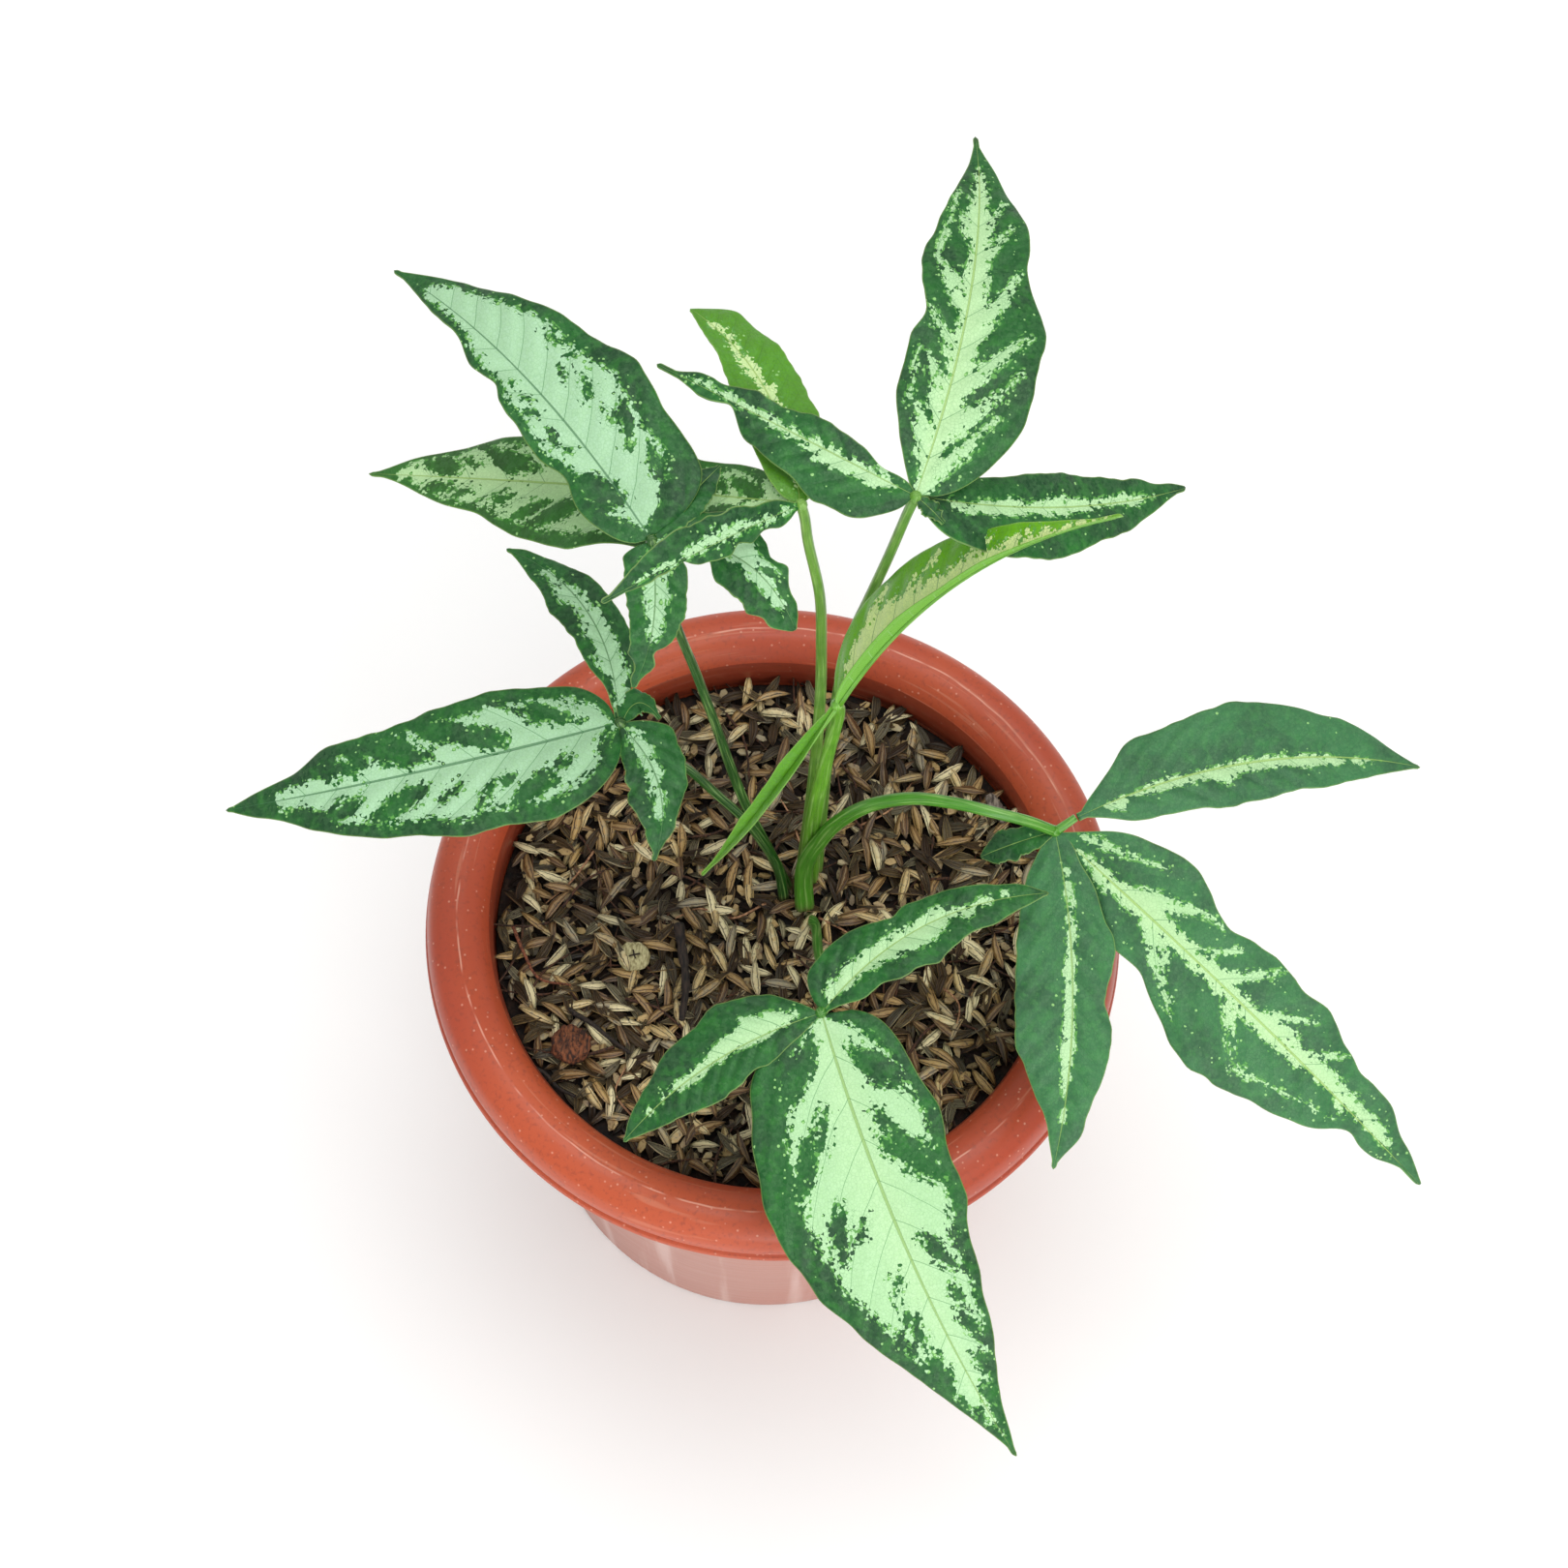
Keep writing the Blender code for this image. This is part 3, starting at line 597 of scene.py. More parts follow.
    def find_veins(self, g: Graph, place: Term, reach: Term, along: Term, half: Term,
                   spacing: Term) -> tuple[Term, ...]:
        """Draws the midrib, the side veins that leave it and the finest net.

        Args:
            g: the tree.
            place: millimetres across and along, and the leaflet's seed.
            reach: millimetres from the midrib.
            along: millimetres along it.
            half: half the leaflet's width.
            spacing: distance between side veins.

        Returns:
            Shares of side vein, midrib and net, and the swelling between side veins.
        """
        waver = g.add("TexNoise", place, None, 1 / self.waver, 1.0) * 1.6
        number = (along + waver - reach * (reach * VEIN_CURVE + VEIN_SLANT)) / spacing
        swell = g.add("Math", number + 100, 0.5, operation="PINGPONG")
        share = reach / half
        side_vein = g.add("MapRange", swell * spacing, 0.05, 0.2, 1.0, 0.0, **SMOOTH)
        side_vein = side_vein * g.add("MapRange", share, self.hem, self.hem + 0.05, 1.0, 0.0, **SMOOTH)
        hem_vein = abs(share - self.hem - waver * 0.03) * half
        hem_vein = g.add("MapRange", hem_vein, 0.05, 0.2, 0.6, 0.0, **SMOOTH)
        side_vein = g.add("Math", side_vein, hem_vein, operation="MAXIMUM")
        midrib = g.add("MapRange", reach / (half * 0.02 + 0.08), 0.6, 1.0, 1.0, 0.0, **SMOOTH)
        net = g.add("TexVoronoi", place, None, 1 / self.cell, feature="DISTANCE_TO_EDGE")
        return side_vein, midrib, g.add("MapRange", net, 0.0, 0.09, 1.0, 0.0, **SMOOTH), swell


@dataclass(frozen=True)
class StalkSkin:
    """Living leaf stalk: a smooth, juicy skin with a soft gloss; its paler strands are partly real and partly
    painted highlight.
    """

    name: str = "fresh leaf stalk"
    strand: float = 0.45  # width of a strand
    blotch: float = 5.0  # length of a darker area
    gloss: float = 0.34

    def make(self) -> bpy.types.Material:
        """Builds the material from the place, colour and wear at each corner.

        Returns:
            The material.
        """
        made, g = new_material(self.name)
        place, colour, wear = [g.add("Attribute", out="Vector", attribute_name=f"stalk_{kind}")
                               for kind in ("place", "colour", "wear")]
        around, along, _ = g.add("SeparateXYZ", place, out=None)
        low, dull, _ = g.add("SeparateXYZ", wear, out=None)
        ring = [g.add("Math", around * TURN, operation=kind) * 1.5 for kind in ("COSINE", "SINE")]
        skin = g.add("CombineXYZ", *ring, along * 0.035)
        strand = g.add("TexNoise", skin, None, 1 / self.strand, 2.0)
        blotch = g.add("TexNoise", g.add("TexCoord", out="Object"), None, 1 / (self.blotch * MM), 2.0)
        colour = g.paint(
            colour,
            # pale strands: partly real striation, partly a painted highlight along the stalk
            (g.add("MapRange", strand, 0.5, 0.7, 0.0, 0.5, **SMOOTH) * (1 - dull * 0.6), "A9D07A"),
            (g.add("MapRange", strand, 0.28, 0.45, 0.45, 0.0, **SMOOTH), "245A1C"),
            (g.add("MapRange", blotch, 0.4, 0.7, 0.0, 0.25, **SMOOTH), "2F6A22"),
            (low, "8E7B52"))
        g.finish(colour, self.gloss, strand, 0.3, 0.5, Specular_IOR_Level=0.5)
        return made


@dataclass(frozen=True)
class Leaflet:
    """One leaflet's form and pattern. Pairs give its left and right half.

    Shares of its length and of its half width are in hundredths, and those on its right are below zero.
    """

    tip: tuple
    widths: tuple  # widest half widths
    peaks: tuple = (40, 40)  # where it is widest
    fullness: float = 0.6  # under 1 gives a round base
    taper: float = 1.1  # over 1 draws the tip out
    bow: float = 0.0  # sideways bend of the midrib, to the left
    arch: float = 3.0  # rise of the midrib above the straight line to the tip
    roll: float = 0.0  # degrees that the upper face is turned to the left
    folds: tuple = (8, 8)  # degrees that each half is raised from the midrib
    wave: float = 0.7  # height of the waves along the edge
    waves: float = 3.0  # how many of them
    droop: float = 0.1  # how far the edge hangs, as a share of the half width
    quilt: float = 0.45  # how high the skin swells between side veins
    base: tuple | None = None  # where it starts, if not at the knuckle
    ragged: float = 0.8  # how far the edge wanders
    bulges: tuple = ((), ())  # where the edge swells or shrinks, and by how many millimetres
    bulge_reach: float = 0.06  # how far it does, as a share of the length
    pale: tuple = ()  # share of the length, and how far the pale tissue reaches left and right
    light: tuple = ()  # feathers of pale: where they start and end, along and across, and their width
    dark: tuple = ()  # green patches in the pale, in the same way
    fringe: float = 1.0  # how ragged the edge of the pale is
    sparks: float = 0.0  # how many single pale cells lie near the hem
    silver: float = 0.2  # how much bluer the pale is
    youth: float = 0.0  # how much of the young leaf's yellow-green it has
    painted_sheen: float = 0.0  # how much painted sheen, a milky veil standing for light reflected by the wax, lies over its green

    def vein_spacing(self, length: float) -> float:
        """The distance between side veins in millimetres: the larger the leaflet, the wider."""
        return min(max(length / 11.5, 4.5), 10.0)

    def half_width(self, along: np.ndarray, side: Side, seed: float) -> np.ndarray:
        """Half the leaflet's width.

        Args:
            along: shares of the length.
            side: which half.
            seed: sets the edge's small wander.

        Returns:
            The half widths in millimetres.
        """
        widest, peak, bulges = self.widths[side.value], self.peaks[side.value] / 100, self.bulges[side.value]
        rising = widest * np.sin(math.pi / 2 * np.minimum(along / peak, 1)) ** self.fullness
        past = np.clip((along - peak) / (1 - peak), 0, 1)
        falling = widest * np.maximum(np.cos(math.pi / 2 * past), 0) ** self.taper
        row = 11.0 + 18.0 * side.value  # another stretch of noise for each half
        wander = np.array([dent(share * 9, seed, row) + 0.5 * dent(share * 24, seed, row + 3)
                           for share in along])
        width = np.where(along < peak, rising, falling) + self.ragged * wander * np.sin(math.pi * along)
        for where, swell in bulges:
            width = width + swell * np.exp(-((along - where / 100) / self.bulge_reach) ** 2)
        end = np.clip((along - TIP_START) / (1 - TIP_START), 0, 1)
        return np.maximum(width, np.where(along < 0.5, 1.0, TIP_RADIUS * np.sqrt(1.02 - end ** 2)))

    def surface(self, base: np.ndarray, along: np.ndarray, across: np.ndarray,
                seed: float) -> tuple[np.ndarray, np.ndarray, np.ndarray]:
        """The leaflet's middle surface on a grid.

        Args:
            base: where it starts.
            along: shares of the length.
            across: shares of the half width, from -1 on the right to 1 on the left.
            seed: sets the edge's small wander.

        Returns:
            Points, normals and half widths, each on the grid.
        """
        chord = np.array(self.tip, float) - base
        length = np.linalg.norm(chord)
        forward = chord / length
        upright = unit(np.array([0, 0, 1.0]) - forward * forward[2])
        roll = math.radians(self.roll)
        face = upright * math.cos(roll) + np.cross(upright, forward) * math.sin(roll)
        side = np.cross(face, forward)
        t, u = along[:, None], across[None]
        bend = face * self.arch + side * self.bow
        midrib = base + forward * length * t + bend * 4 * t * (1 - t)
        tangent = unit(forward * length + bend * 4 * (1 - 2 * t))
        normal = unit(face - tangent * (tangent @ face)[:, None])
        left = np.cross(normal, tangent)
        halves = [self.half_width(along, half, seed)[:, None] for half in Side]
        width = np.where(u >= 0, *halves)
        fold = np.radians(np.where(u >= 0, *self.folds))
        out = np.abs(u) * width
        ripple = np.sin(TURN * self.waves * t + np.where(u >= 0, 0, 2.1)) * np.sin(math.pi * t)
        vein = (t * length - out * (VEIN_SLANT + VEIN_CURVE * out)) / self.vein_spacing(length)
        swell = np.abs(np.sin(math.pi * vein)) * self.quilt
        swell = swell * np.clip(out / 3, 0, 1) * np.clip((width - out) / 3, 0, 1)
        lift = out * np.sin(fold) + u * u * (self.wave * ripple - self.droop * width) + swell
        points = midrib[:, None] + left[:, None] * (np.sign(u) * out * np.cos(fold))[..., None]
        points = points + normal[:, None] * lift[..., None]
        return points, unit(np.cross(np.gradient(points, axis=0), np.gradient(points, axis=1))), width

    def find_inner(self, length: float, along: np.ndarray, across: np.ndarray,
                   width: np.ndarray) -> np.ndarray:
        """How far inside the pale tissue each place of the grid lies.

        Args:
            length: the leaflet's length.
            along: shares of the length.
            across: shares of the half width.
            width: half widths on the grid.

        Returns:
            Millimetres, negative in the green.
        """
        if not self.pale:
            return np.full(width.shape, FAR_INSIDE_GREEN)
        where, *reaches = np.array(self.pale, float).T / 100
        far_left, far_right = [np.interp(along, where, reach, left=NO_PALE, right=NO_PALE)[:, None]
                               for reach in reaches]
        inner = np.minimum(far_left - across[None], across[None] + far_right) * width
        inner = np.minimum(inner, np.minimum(along - where[0], where[-1] - along)[:, None] * length + 0.4)
        place = along[:, None] * length + 1j * across[None] * width

        def stroke(start: float, start_out: float, stop: float, stop_out: float) -> tuple:
            """Finds how each place of the grid lies to a mark.

            Args:
                start: share of the length where it starts, in hundredths.
                start_out: share of the half width where it starts.
                stop: share of the length where it ends.
                stop_out: share of the half width where it ends.

            Returns:
                The share along its middle line, and the distance from that line.
            """
            first, last = [share / 100 * length + 1j * out / 100 * np.interp(
                share / 100, along, width[:, -1 if out >= 0 else 0])
                for share, out in ((start, start_out), (stop, stop_out))]
            way = last - first
            t = np.clip(((place - first) * np.conj(way)).real / max(abs(way) ** 2, 1e-6), 0, 1)
            return t, np.abs(place - first - t * way)

        for *ends, wide in self.light:
            t, away = stroke(*ends)
            inner = np.maximum(inner, wide / 2 * (1 - 0.8 * t) - away)
        for *ends, wide in self.dark:
            t, away = stroke(*ends)
            inner = np.minimum(inner, away - wide / 2 * np.sin(math.pi * (0.22 + 0.66 * t)))
        return inner


@dataclass(frozen=True)
class Leaf:
    """One leaf: its CAD node, the joint that carries its leaflets, and its stalk's route from the mix up."""

    node: str
    knuckle: tuple
    low_radius: float
    top_radius: float
    stalk: str
    route: tuple
    leaflets: tuple
    sheath: float = 0.0  # how far the groove of a sheath opens the stalk's foot
    side_shoot: bool = False

    def find_end(self) -> tuple[np.ndarray, np.ndarray]:
        """The knuckle, and the stalk's direction there."""
        knuckle = np.array(self.knuckle, float)
        return knuckle, unit(knuckle - np.array(self.route[-1], float))


TALL_LEFT = Leaf(
    "blade_tall_left", knuckle=(-29, 14, 302), low_radius=1.4, top_radius=1, stalk="164511", side_shoot=True,
    route=((3.5, 11, 122), (-1.5, 12.5, 142), (-7, 13.5, 164), (-11, 13.5, 186), (-15.5, 14.5, 212),
        (-20, 15, 238), (-23.5, 15, 257), (-26.5, 14.5, 280), (-28, 14.5, 295)),
    leaflets=(
        Leaflet((-90, 88, 282), (10, 20), (18, 21), fullness=0.4, taper=1.08, bow=-3, arch=7, roll=6, wave=1,
            fringe=1.1, sparks=0.03, silver=1,
            bulges=(((22, -2.4), (54, -1.7), (70, -1.2)), ((4, 3), (20, -1.6), (36, 1.3), (57, 0.6))),
            pale=((1, -5, 0), (4, 10, 20), (6.5, 35, 55), (9, 62, 68), (20, 66, 70), (24, 76, 68),
                (45, 76, 72), (60, 72, 76), (70, 60, 74), (80, 50, 66), (86, 40, 55), (88.5, 10, 10)),
            dark=((11, 12, 21, 90, 6.5), (10, 30, 14, 90, 4), (26, 33, 28, 40, 1.6), (30, 50, 34, 40, 1.8),
                (39, 45, 41, 70, 3), (42, 35, 45, 45, 1.8), (48, 45, 50, 50, 1.2), (4, -40, 10, -66, 3.2),
                (10, -50, 17, -62, 3.4), (19, -38, 22, -50, 1.8), (22, -50, 29, -62, 3.4),
                (27, -38, 30, -42, 1.8), (34, -38, 40, -50, 2.4), (42, -32, 45, -42, 1.7),
                (44, -60, 48, -66, 2), (50, -62, 56, -66, 1.8))),
        Leaflet((-32, -8, 276), (7.2, 6.5), (22, 22), fullness=0.45, taper=1.2, bow=2.6, roll=5, silver=0.8,
            bulges=(((70, -2.2),), ((5, 2), (75, 1), (94, 1))),
            pale=((0, 10, 10), (10, 40, 30), (20, 38, 30), (30, 40, 35), (44, 38, 35), (48, 30, 12),
                (54, 40, 10), (60, 10, 8), (64, 0, 0))),
        Leaflet((2, -3.6, 298), (8.2, 8.1), (30, 60), fullness=0.9, taper=0.75, bow=5.6, roll=6, silver=0.8,
            bulges=(((12, 4), (33, 1.4), (62, -1.9), (80, -1.2)), ((33, -2.6), (80, 1.6), (94, 2.2))),
            pale=((2, 10, 10), (20, 25, 30), (40, 30, 25), (49, 65, 20), (53, 55, 25), (57, 32, 25),
                (60, 25, 30), (75, 25, 35), (86, 20, 30), (90, 0, 0)),
            light=((60, 45, 72, 60, 1.6),)),
        Leaflet((-15.5, 32.2, 302), (4.5, 4.5), (50, 50), fullness=0.5, taper=0.8, arch=1),
    ))
LOW_LEFT = Leaf(
    "blade_low_left", knuckle=(-37, 13, 212), low_radius=1.4, top_radius=1, stalk="164511", side_shoot=True,
    route=((2.5, 8, 122), (0.5, 10, 139), (-4.5, 11.5, 154), (-8.5, 12, 164), (-15, 13, 175),
        (-21.5, 13.5, 187), (-29.5, 13.5, 199)),
    leaflets=(
        Leaflet((-128, -2, 186), (18.8, 14.7), (22, 27), fullness=0.4, taper=0.98, bow=3.9, arch=8, roll=6,
            wave=1, fringe=1.2, sparks=0.02, silver=1,
            bulges=(((30, -1), (85, -1)), ((5, 1), (72, 1.9))),
            pale=((0, 5, 5), (2, 30, 40), (5, 60, 66), (10, 74, 72), (30, 76, 72), (60, 76, 70),
                (69, 74, 62), (72, 50, 50), (78, 38, 42), (85, 30, 35), (85.5, 10, 10)),
            dark=((2, 20, 5.5, 60, 4), (13, 33, 17, 48, 2.8), (16, 55, 21, 65, 2), (17, 45, 29, 80, 4.4),
                (26, 36, 29, 47, 2.2), (31, 42, 36, 72, 3), (38, 30, 43, 47, 3), (48, 30, 61, 76, 5.6),
                (64, 33, 74, 85, 5.2), (8, -20, 10.5, -27, 1.8), (10, -33, 22, -62, 5.6),
                (27, -20, 43, -66, 6), (36, -45, 49, -85, 7), (45, -22, 61, -62, 5.4), (50, -50, 67, -90, 7),
                (61, -40, 77, -62, 4.6), (70, -60, 86, -80, 5))),
        Leaflet((-66, 58, 208), (7.1, 7.1), (54, 41), fullness=0.87, taper=1.04, bow=-6.7, arch=4, roll=-6,
            silver=0.9,
            bulges=(((13, -0.7),), ((94, 0.6),)),
            pale=((4, 10, 60), (10, 20, 80), (17, 35, 70), (24, 57, 60), (29, 65, 45), (32, 36, 42),
                (40, 52, 38), (45, 44, 35), (56, 27, 30), (60, 48, 25), (69, 50, 18), (78, 40, 8),
                (83, 0, 0))),
        Leaflet((-28, -14, 196), (7.9, 7.7), (25, 50), fullness=0.7, taper=1.3, bow=5, arch=2, roll=3,
            silver=0.9,
            bulges=(((20, 1.2), (68, -0.7)), ((10, 0.6), (42, -1), (87, 0.8))),
            pale=((5, 40, -5), (8, 40, 20), (11.5, 35, 44), (14.5, 30, 23), (28, 18, 30), (39, 27, 30),
                (46, 12, 28), (60, 15, 27), (70, 5, 27), (74, 0, 0))),
        Leaflet((-28, 15.3, 210), (3.5, 3), fullness=0.5, bow=4, arch=1),
    ))
TALL_MIDDLE = Leaf(
    "blade_tall_middle", knuckle=(2, 22, 306), low_radius=1.6, top_radius=1.15, stalk="6A9A38",
    route=((6.5, 16.5, 122), (8, 20.5, 166), (8.5, 22.5, 208), (8, 23.5, 237), (7, 23.5, 261), (4, 23, 286),
        (3, 22.5, 298)),
    leaflets=(
        Leaflet((-95, 54, 250), (15.8, 12), (45, 60), fullness=0.5, taper=1.15, bow=-2.6, arch=-3, roll=1,
            wave=1, fringe=1.2, silver=0.1, youth=0.12,
            bulges=(((38, -1), (47, 0.9), (73, -1.3), (92, -0.7)),
                    ((14, 0.8), (27, -1.3), (76, 0.8), (90, 0.9))),
            pale=((0, 10, 10), (3, 50, 50), (10, 70, 70), (50, 78, 72), (80, 76, 78), (88, 60, 70),
                (93, 30, 40)),
            dark=((49, 30, 59, 75, 6), (57, 35, 64, 75, 3.6), (65, 35, 72, 72, 3.6), (75, 40, 79, 62, 2.4),
                (80, 42, 87, 72, 4.2), (63, -25, 75, -66, 5.6), (76, -35, 80, -56, 3),
                (80, -30, 89, -62, 4.2), (10, -20, 17, -50, 5), (18, -25, 26, -58, 4.4), (15, 30, 24, 60, 4),
                (4, 30, 10, 60, 3))),
        Leaflet((-38, -9, 318), (4.5, 7), (30, 55), fullness=0.72, taper=1.26, bow=-1.7, roll=45, silver=0.5,
            bulges=(((21, -2), (35, -2.1), (50, -0.8), (62, -2.5), (72, -1.5)),
                    ((24, -1.2), (40, -1.2), (55, -1))),
            pale=((5, 10, 5), (10, 20, 15), (20, 22, 37), (27, 10, 35), (35, 6, 45), (43, 5, 50),
                (50, 5, 45), (57, 5, 35), (60, 5, 25), (66, 4, 12), (75, 6, 22), (80, 3, 20), (85, 0, 0))),
        Leaflet((-24, 77, 290), (7.4, 8.6), (25, 60), fullness=0.4, taper=0.75, bow=-4.6, roll=-6, silver=0,
            youth=0.55,
            bulges=((), ((32, 0.8), (60, -0.8), (88, 2.1))),
            pale=((5, 5, 10), (35, 10, 30), (45, 12, 20), (54, 33, 15), (55.5, 14, 15), (58, 27, 20),
                (67, 38, 12), (74, 33, 15), (81, 17, 22), (86, 2, 18), (90, 0, 0))),
    ))
TALL_RIGHT = Leaf(
    "blade_tall_right", knuckle=(26, 24, 308), low_radius=1.6, top_radius=1.15, stalk="5F9333",
    route=((10, 16.5, 122), (11, 24, 170), (13, 26.5, 213), (15, 27.5, 234), (18, 27.5, 252),
        (21.5, 26, 276), (24.5, 24, 300)),
    leaflets=(
        Leaflet((37, 123, 292), (11.5, 17.5), (42, 27), fullness=0.47, taper=1.13, bow=-4, arch=8, roll=-5,
            wave=1.2, fringe=0.9, sparks=0.14, silver=0.15,
            bulges=(((3, -1), (20, 1.2), (42, -2.7), (60, 1.2), (90, -0.6)),
                    ((20, 0.7), (42, 1.1), (57, -1.9), (71, 1), (93, -0.6))),
            pale=((0, 5, 10), (2, 27, 20), (7, 13, 24), (10, 13, 25), (20, 22, 25), (34, 13, 22),
                (40, 20, 24), (46, 17, 25), (50, 23, 28), (60, 13, 30), (65, 24, 28), (70, 37, 25),
                (76, 30, 23), (82, 27, 23), (86, 13, 20), (89, 0, 0)),
            light=((9, 5, 18.5, 60, 5), (20, 10, 31, 55, 4.6), (33, 8, 40, 65, 4.4), (39, 60, 44, 90, 2),
                (46, 12, 58, 74, 4.8), (66, 20, 72, 55, 3.6), (58, 74, 80, 84, 1.4), (20, 74, 33, 80, 1),
                (2, -15, 20, -66, 4.6), (13, -15, 31, -82, 4.6), (25, -15, 41, -80, 4.6),
                (40, -18, 56, -84, 4.8), (60, -25, 70, -70, 2.2), (70, -25, 77, -68, 1.8))),
        Leaflet((-30, 55, 304), (10.2, 5.8), (20, 47), fullness=0.47, taper=1.6, bow=1, roll=6, fringe=0.8,
            sparks=0.05, silver=0.3,
            bulges=(((14, 1.5), (28, 1.4), (68, -3)), ((13, -1.5), (53, -1.6), (84, 1.4))),
            pale=((5, 12, 5), (9, 24, 30), (16, 27, 30), (30, 28, 15), (43, 20, 22), (60, 10, 28),
                (70, 2, 38), (78, -5, 50), (86, -10, 45), (88, -20, 40)),
            light=((10, -10, 15, -80, 2.6),)),
        Leaflet((86, 48, 272), (8, 12), (45, 30), fullness=0.58, taper=1.19, bow=-3.9, arch=1, roll=-12,
            fringe=0.8, sparks=0.1,
            bulges=(((12, -1), (33, -0.6), (82, 1.2), (95, 1.2)), ((6, 1.1), (40, 0.8))),
            pale=((10, -5, 20), (15, 0, 25), (24, 12, 18), (31, 28, 17), (34, 30, 17), (36, 15, 17),
                (50, 33, 15), (54, 20, 12), (64, 17, 10), (71, 25, 10), (74.5, 37, 12), (76, 20, 20),
                (80, 17, 20), (85, 12, 10), (88, 5, 0))),
        Leaflet((32, 19, 306), (2, 2), fullness=0.5, arch=0.5),
    ))
YOUNG = Leaf(
    "blade_young", knuckle=(12, 7, 240), low_radius=2.6, top_radius=1.4, stalk="66A62A", sheath=0.75,
    route=((8, 13.5, 122), (8.5, 13, 162), (10.5, 11.5, 199), (12.6, 10.4, 227)),
    leaflets=(
        Leaflet((67.5, 9, 332), (12.5, 4.2), (24, 20), fullness=0.42, taper=1.5, bow=6.5, arch=4, roll=-4,
            folds=(14, 80), wave=0.4, ragged=0.4, fringe=1.1, silver=0, youth=1,
            # the wide pale near the base is partly the leaf's own pale and partly a painted highlight of its
            # gloss
            pale=((3, 10, 20), (8, 50, 30), (28, 60, 40), (36, 35, 40), (90, 30, 40), (97, 0, 0)),
            light=((10, 20, 28, 85, 5), (30, 20, 48, 85, 4), (50, 20, 64, 70, 2.6), (64, 20, 78, 70, 2))),
        Leaflet((-17, -8.5, 176), (3.4, 3), (40, 30), fullness=0.72, taper=1, bow=2.6, roll=6,
            folds=(46, 46), wave=0.2, ragged=0.25, youth=0.75),
    ))
LOW_RIGHT = Leaf(
    "blade_low_right", knuckle=(65, 4, 182), low_radius=2.5, top_radius=1.3, stalk="4B8F22", sheath=0.6,
    route=((7.5, 6.5, 122), (7, 9, 142), (10.5, 10.5, 156), (15, 11, 167), (22, 10.5, 178), (31, 9, 186),
        (41, 6.5, 190), (50.5, 4.5, 190), (58.5, 4, 187)),
    leaflets=(
        Leaflet((157, -60, 128), (16, 19), (24, 46), fullness=1, taper=1.08, bow=1.9, arch=10, roll=-25,
            wave=1.4, waves=4, ragged=1.8, fringe=0.9, sparks=0.12, silver=0.05, painted_sheen=0.3,
            bulges=(((8, 1.8), (33, -3.8), (60, 2.2), (82, 3), (94, 1.6)),
                    ((10, -2.8), (28, -4.2), (37, -2.2), (60, -1.2), (70, -1.5), (80, -5.4), (92, -2.4))),
            pale=((4, 5, 0), (9, 10, 35), (11, 11, 50), (14, 12, 45), (15.5, 15, 22), (20, 29, 20),
                (24, 22, 18), (32, 19, 12), (40, 29, 12), (44, 15, 12), (50, 19, 15), (55, 36, 12),
                (60, 25, 10), (64, 28, 8), (67, 40, 5), (75, 42, 2), (82, 42, 0), (88, 45, 0), (90, 20, 0)),
            light=((19, 15, 31, 85, 5), (31, 84, 34, 90, 1.6), (35, 15, 39, 75, 2.6), (41, 15, 48, 90, 3.6),
                (52, 25, 59, 68, 3), (63, 25, 70, 95, 2), (4, 62, 19, 74, 1.8), (23, -10, 28.5, -60, 4.4),
                (28, -56, 39, -82, 2.6), (27, -10, 31, -42, 2.4), (45, -10, 53.5, -64, 3.8),
                (54, -68, 76, -50, 1.4), (72, 5, 77, -30, 1.6))),
        Leaflet((153, 32, 166), (15.8, 9.9), (46, 40), fullness=0.9, taper=0.88, bow=4.9, arch=6, roll=-1,
            base=(69.5, 6.8, 184.2), fringe=0.7, silver=0.1, painted_sheen=0.35,
            bulges=(((20, 2), (38, -0.9), (72, -0.8), (93, -1)), ((14, 1.5), (70, 0.6))),
            pale=((7, 2, 30), (9, 4, 50), (12, 2, 50), (13.5, 2, 10), (17, 6, 15), (21, 5, 27), (32, 3, 23),
                (37, 3, 25), (41, 3, 45), (44, 4, 28), (58, 7, 27), (61, 3, 30), (64, 5, 32), (70, 7, 25),
                (73, 2, 30), (76, 0, 30), (78, -20, 10), (80, 0, 30), (83, 0, 20), (87, 0, 0))),
        Leaflet((68, -68, 150), (9.7, 13.6), (55, 49), fullness=0.43, taper=1.14, bow=4, arch=4, roll=-1,
            fringe=0.6, silver=0.3, painted_sheen=0.3,
            bulges=(((10, -1), (34, 1.5), (49, -2), (89, 1.7)), ((4, -1), (64, 1), (86, -1))),
            pale=((10, 20, -5), (11, 40, -5), (13, 30, 0), (14, 10, 0), (15, 35, 0), (20, 25, 4),
                (28, 17, 6), (36, 10, 12), (50, 10, 15), (63, 7, 18), (78, 0, 16), (80, -10, 0),
                (82, 10, 10), (86, 17, 16), (87, 0, 0))),
        Leaflet((48, -1, 176.5), (4, 4), (60, 60), fullness=0.5, taper=0.7, arch=1),
    ))
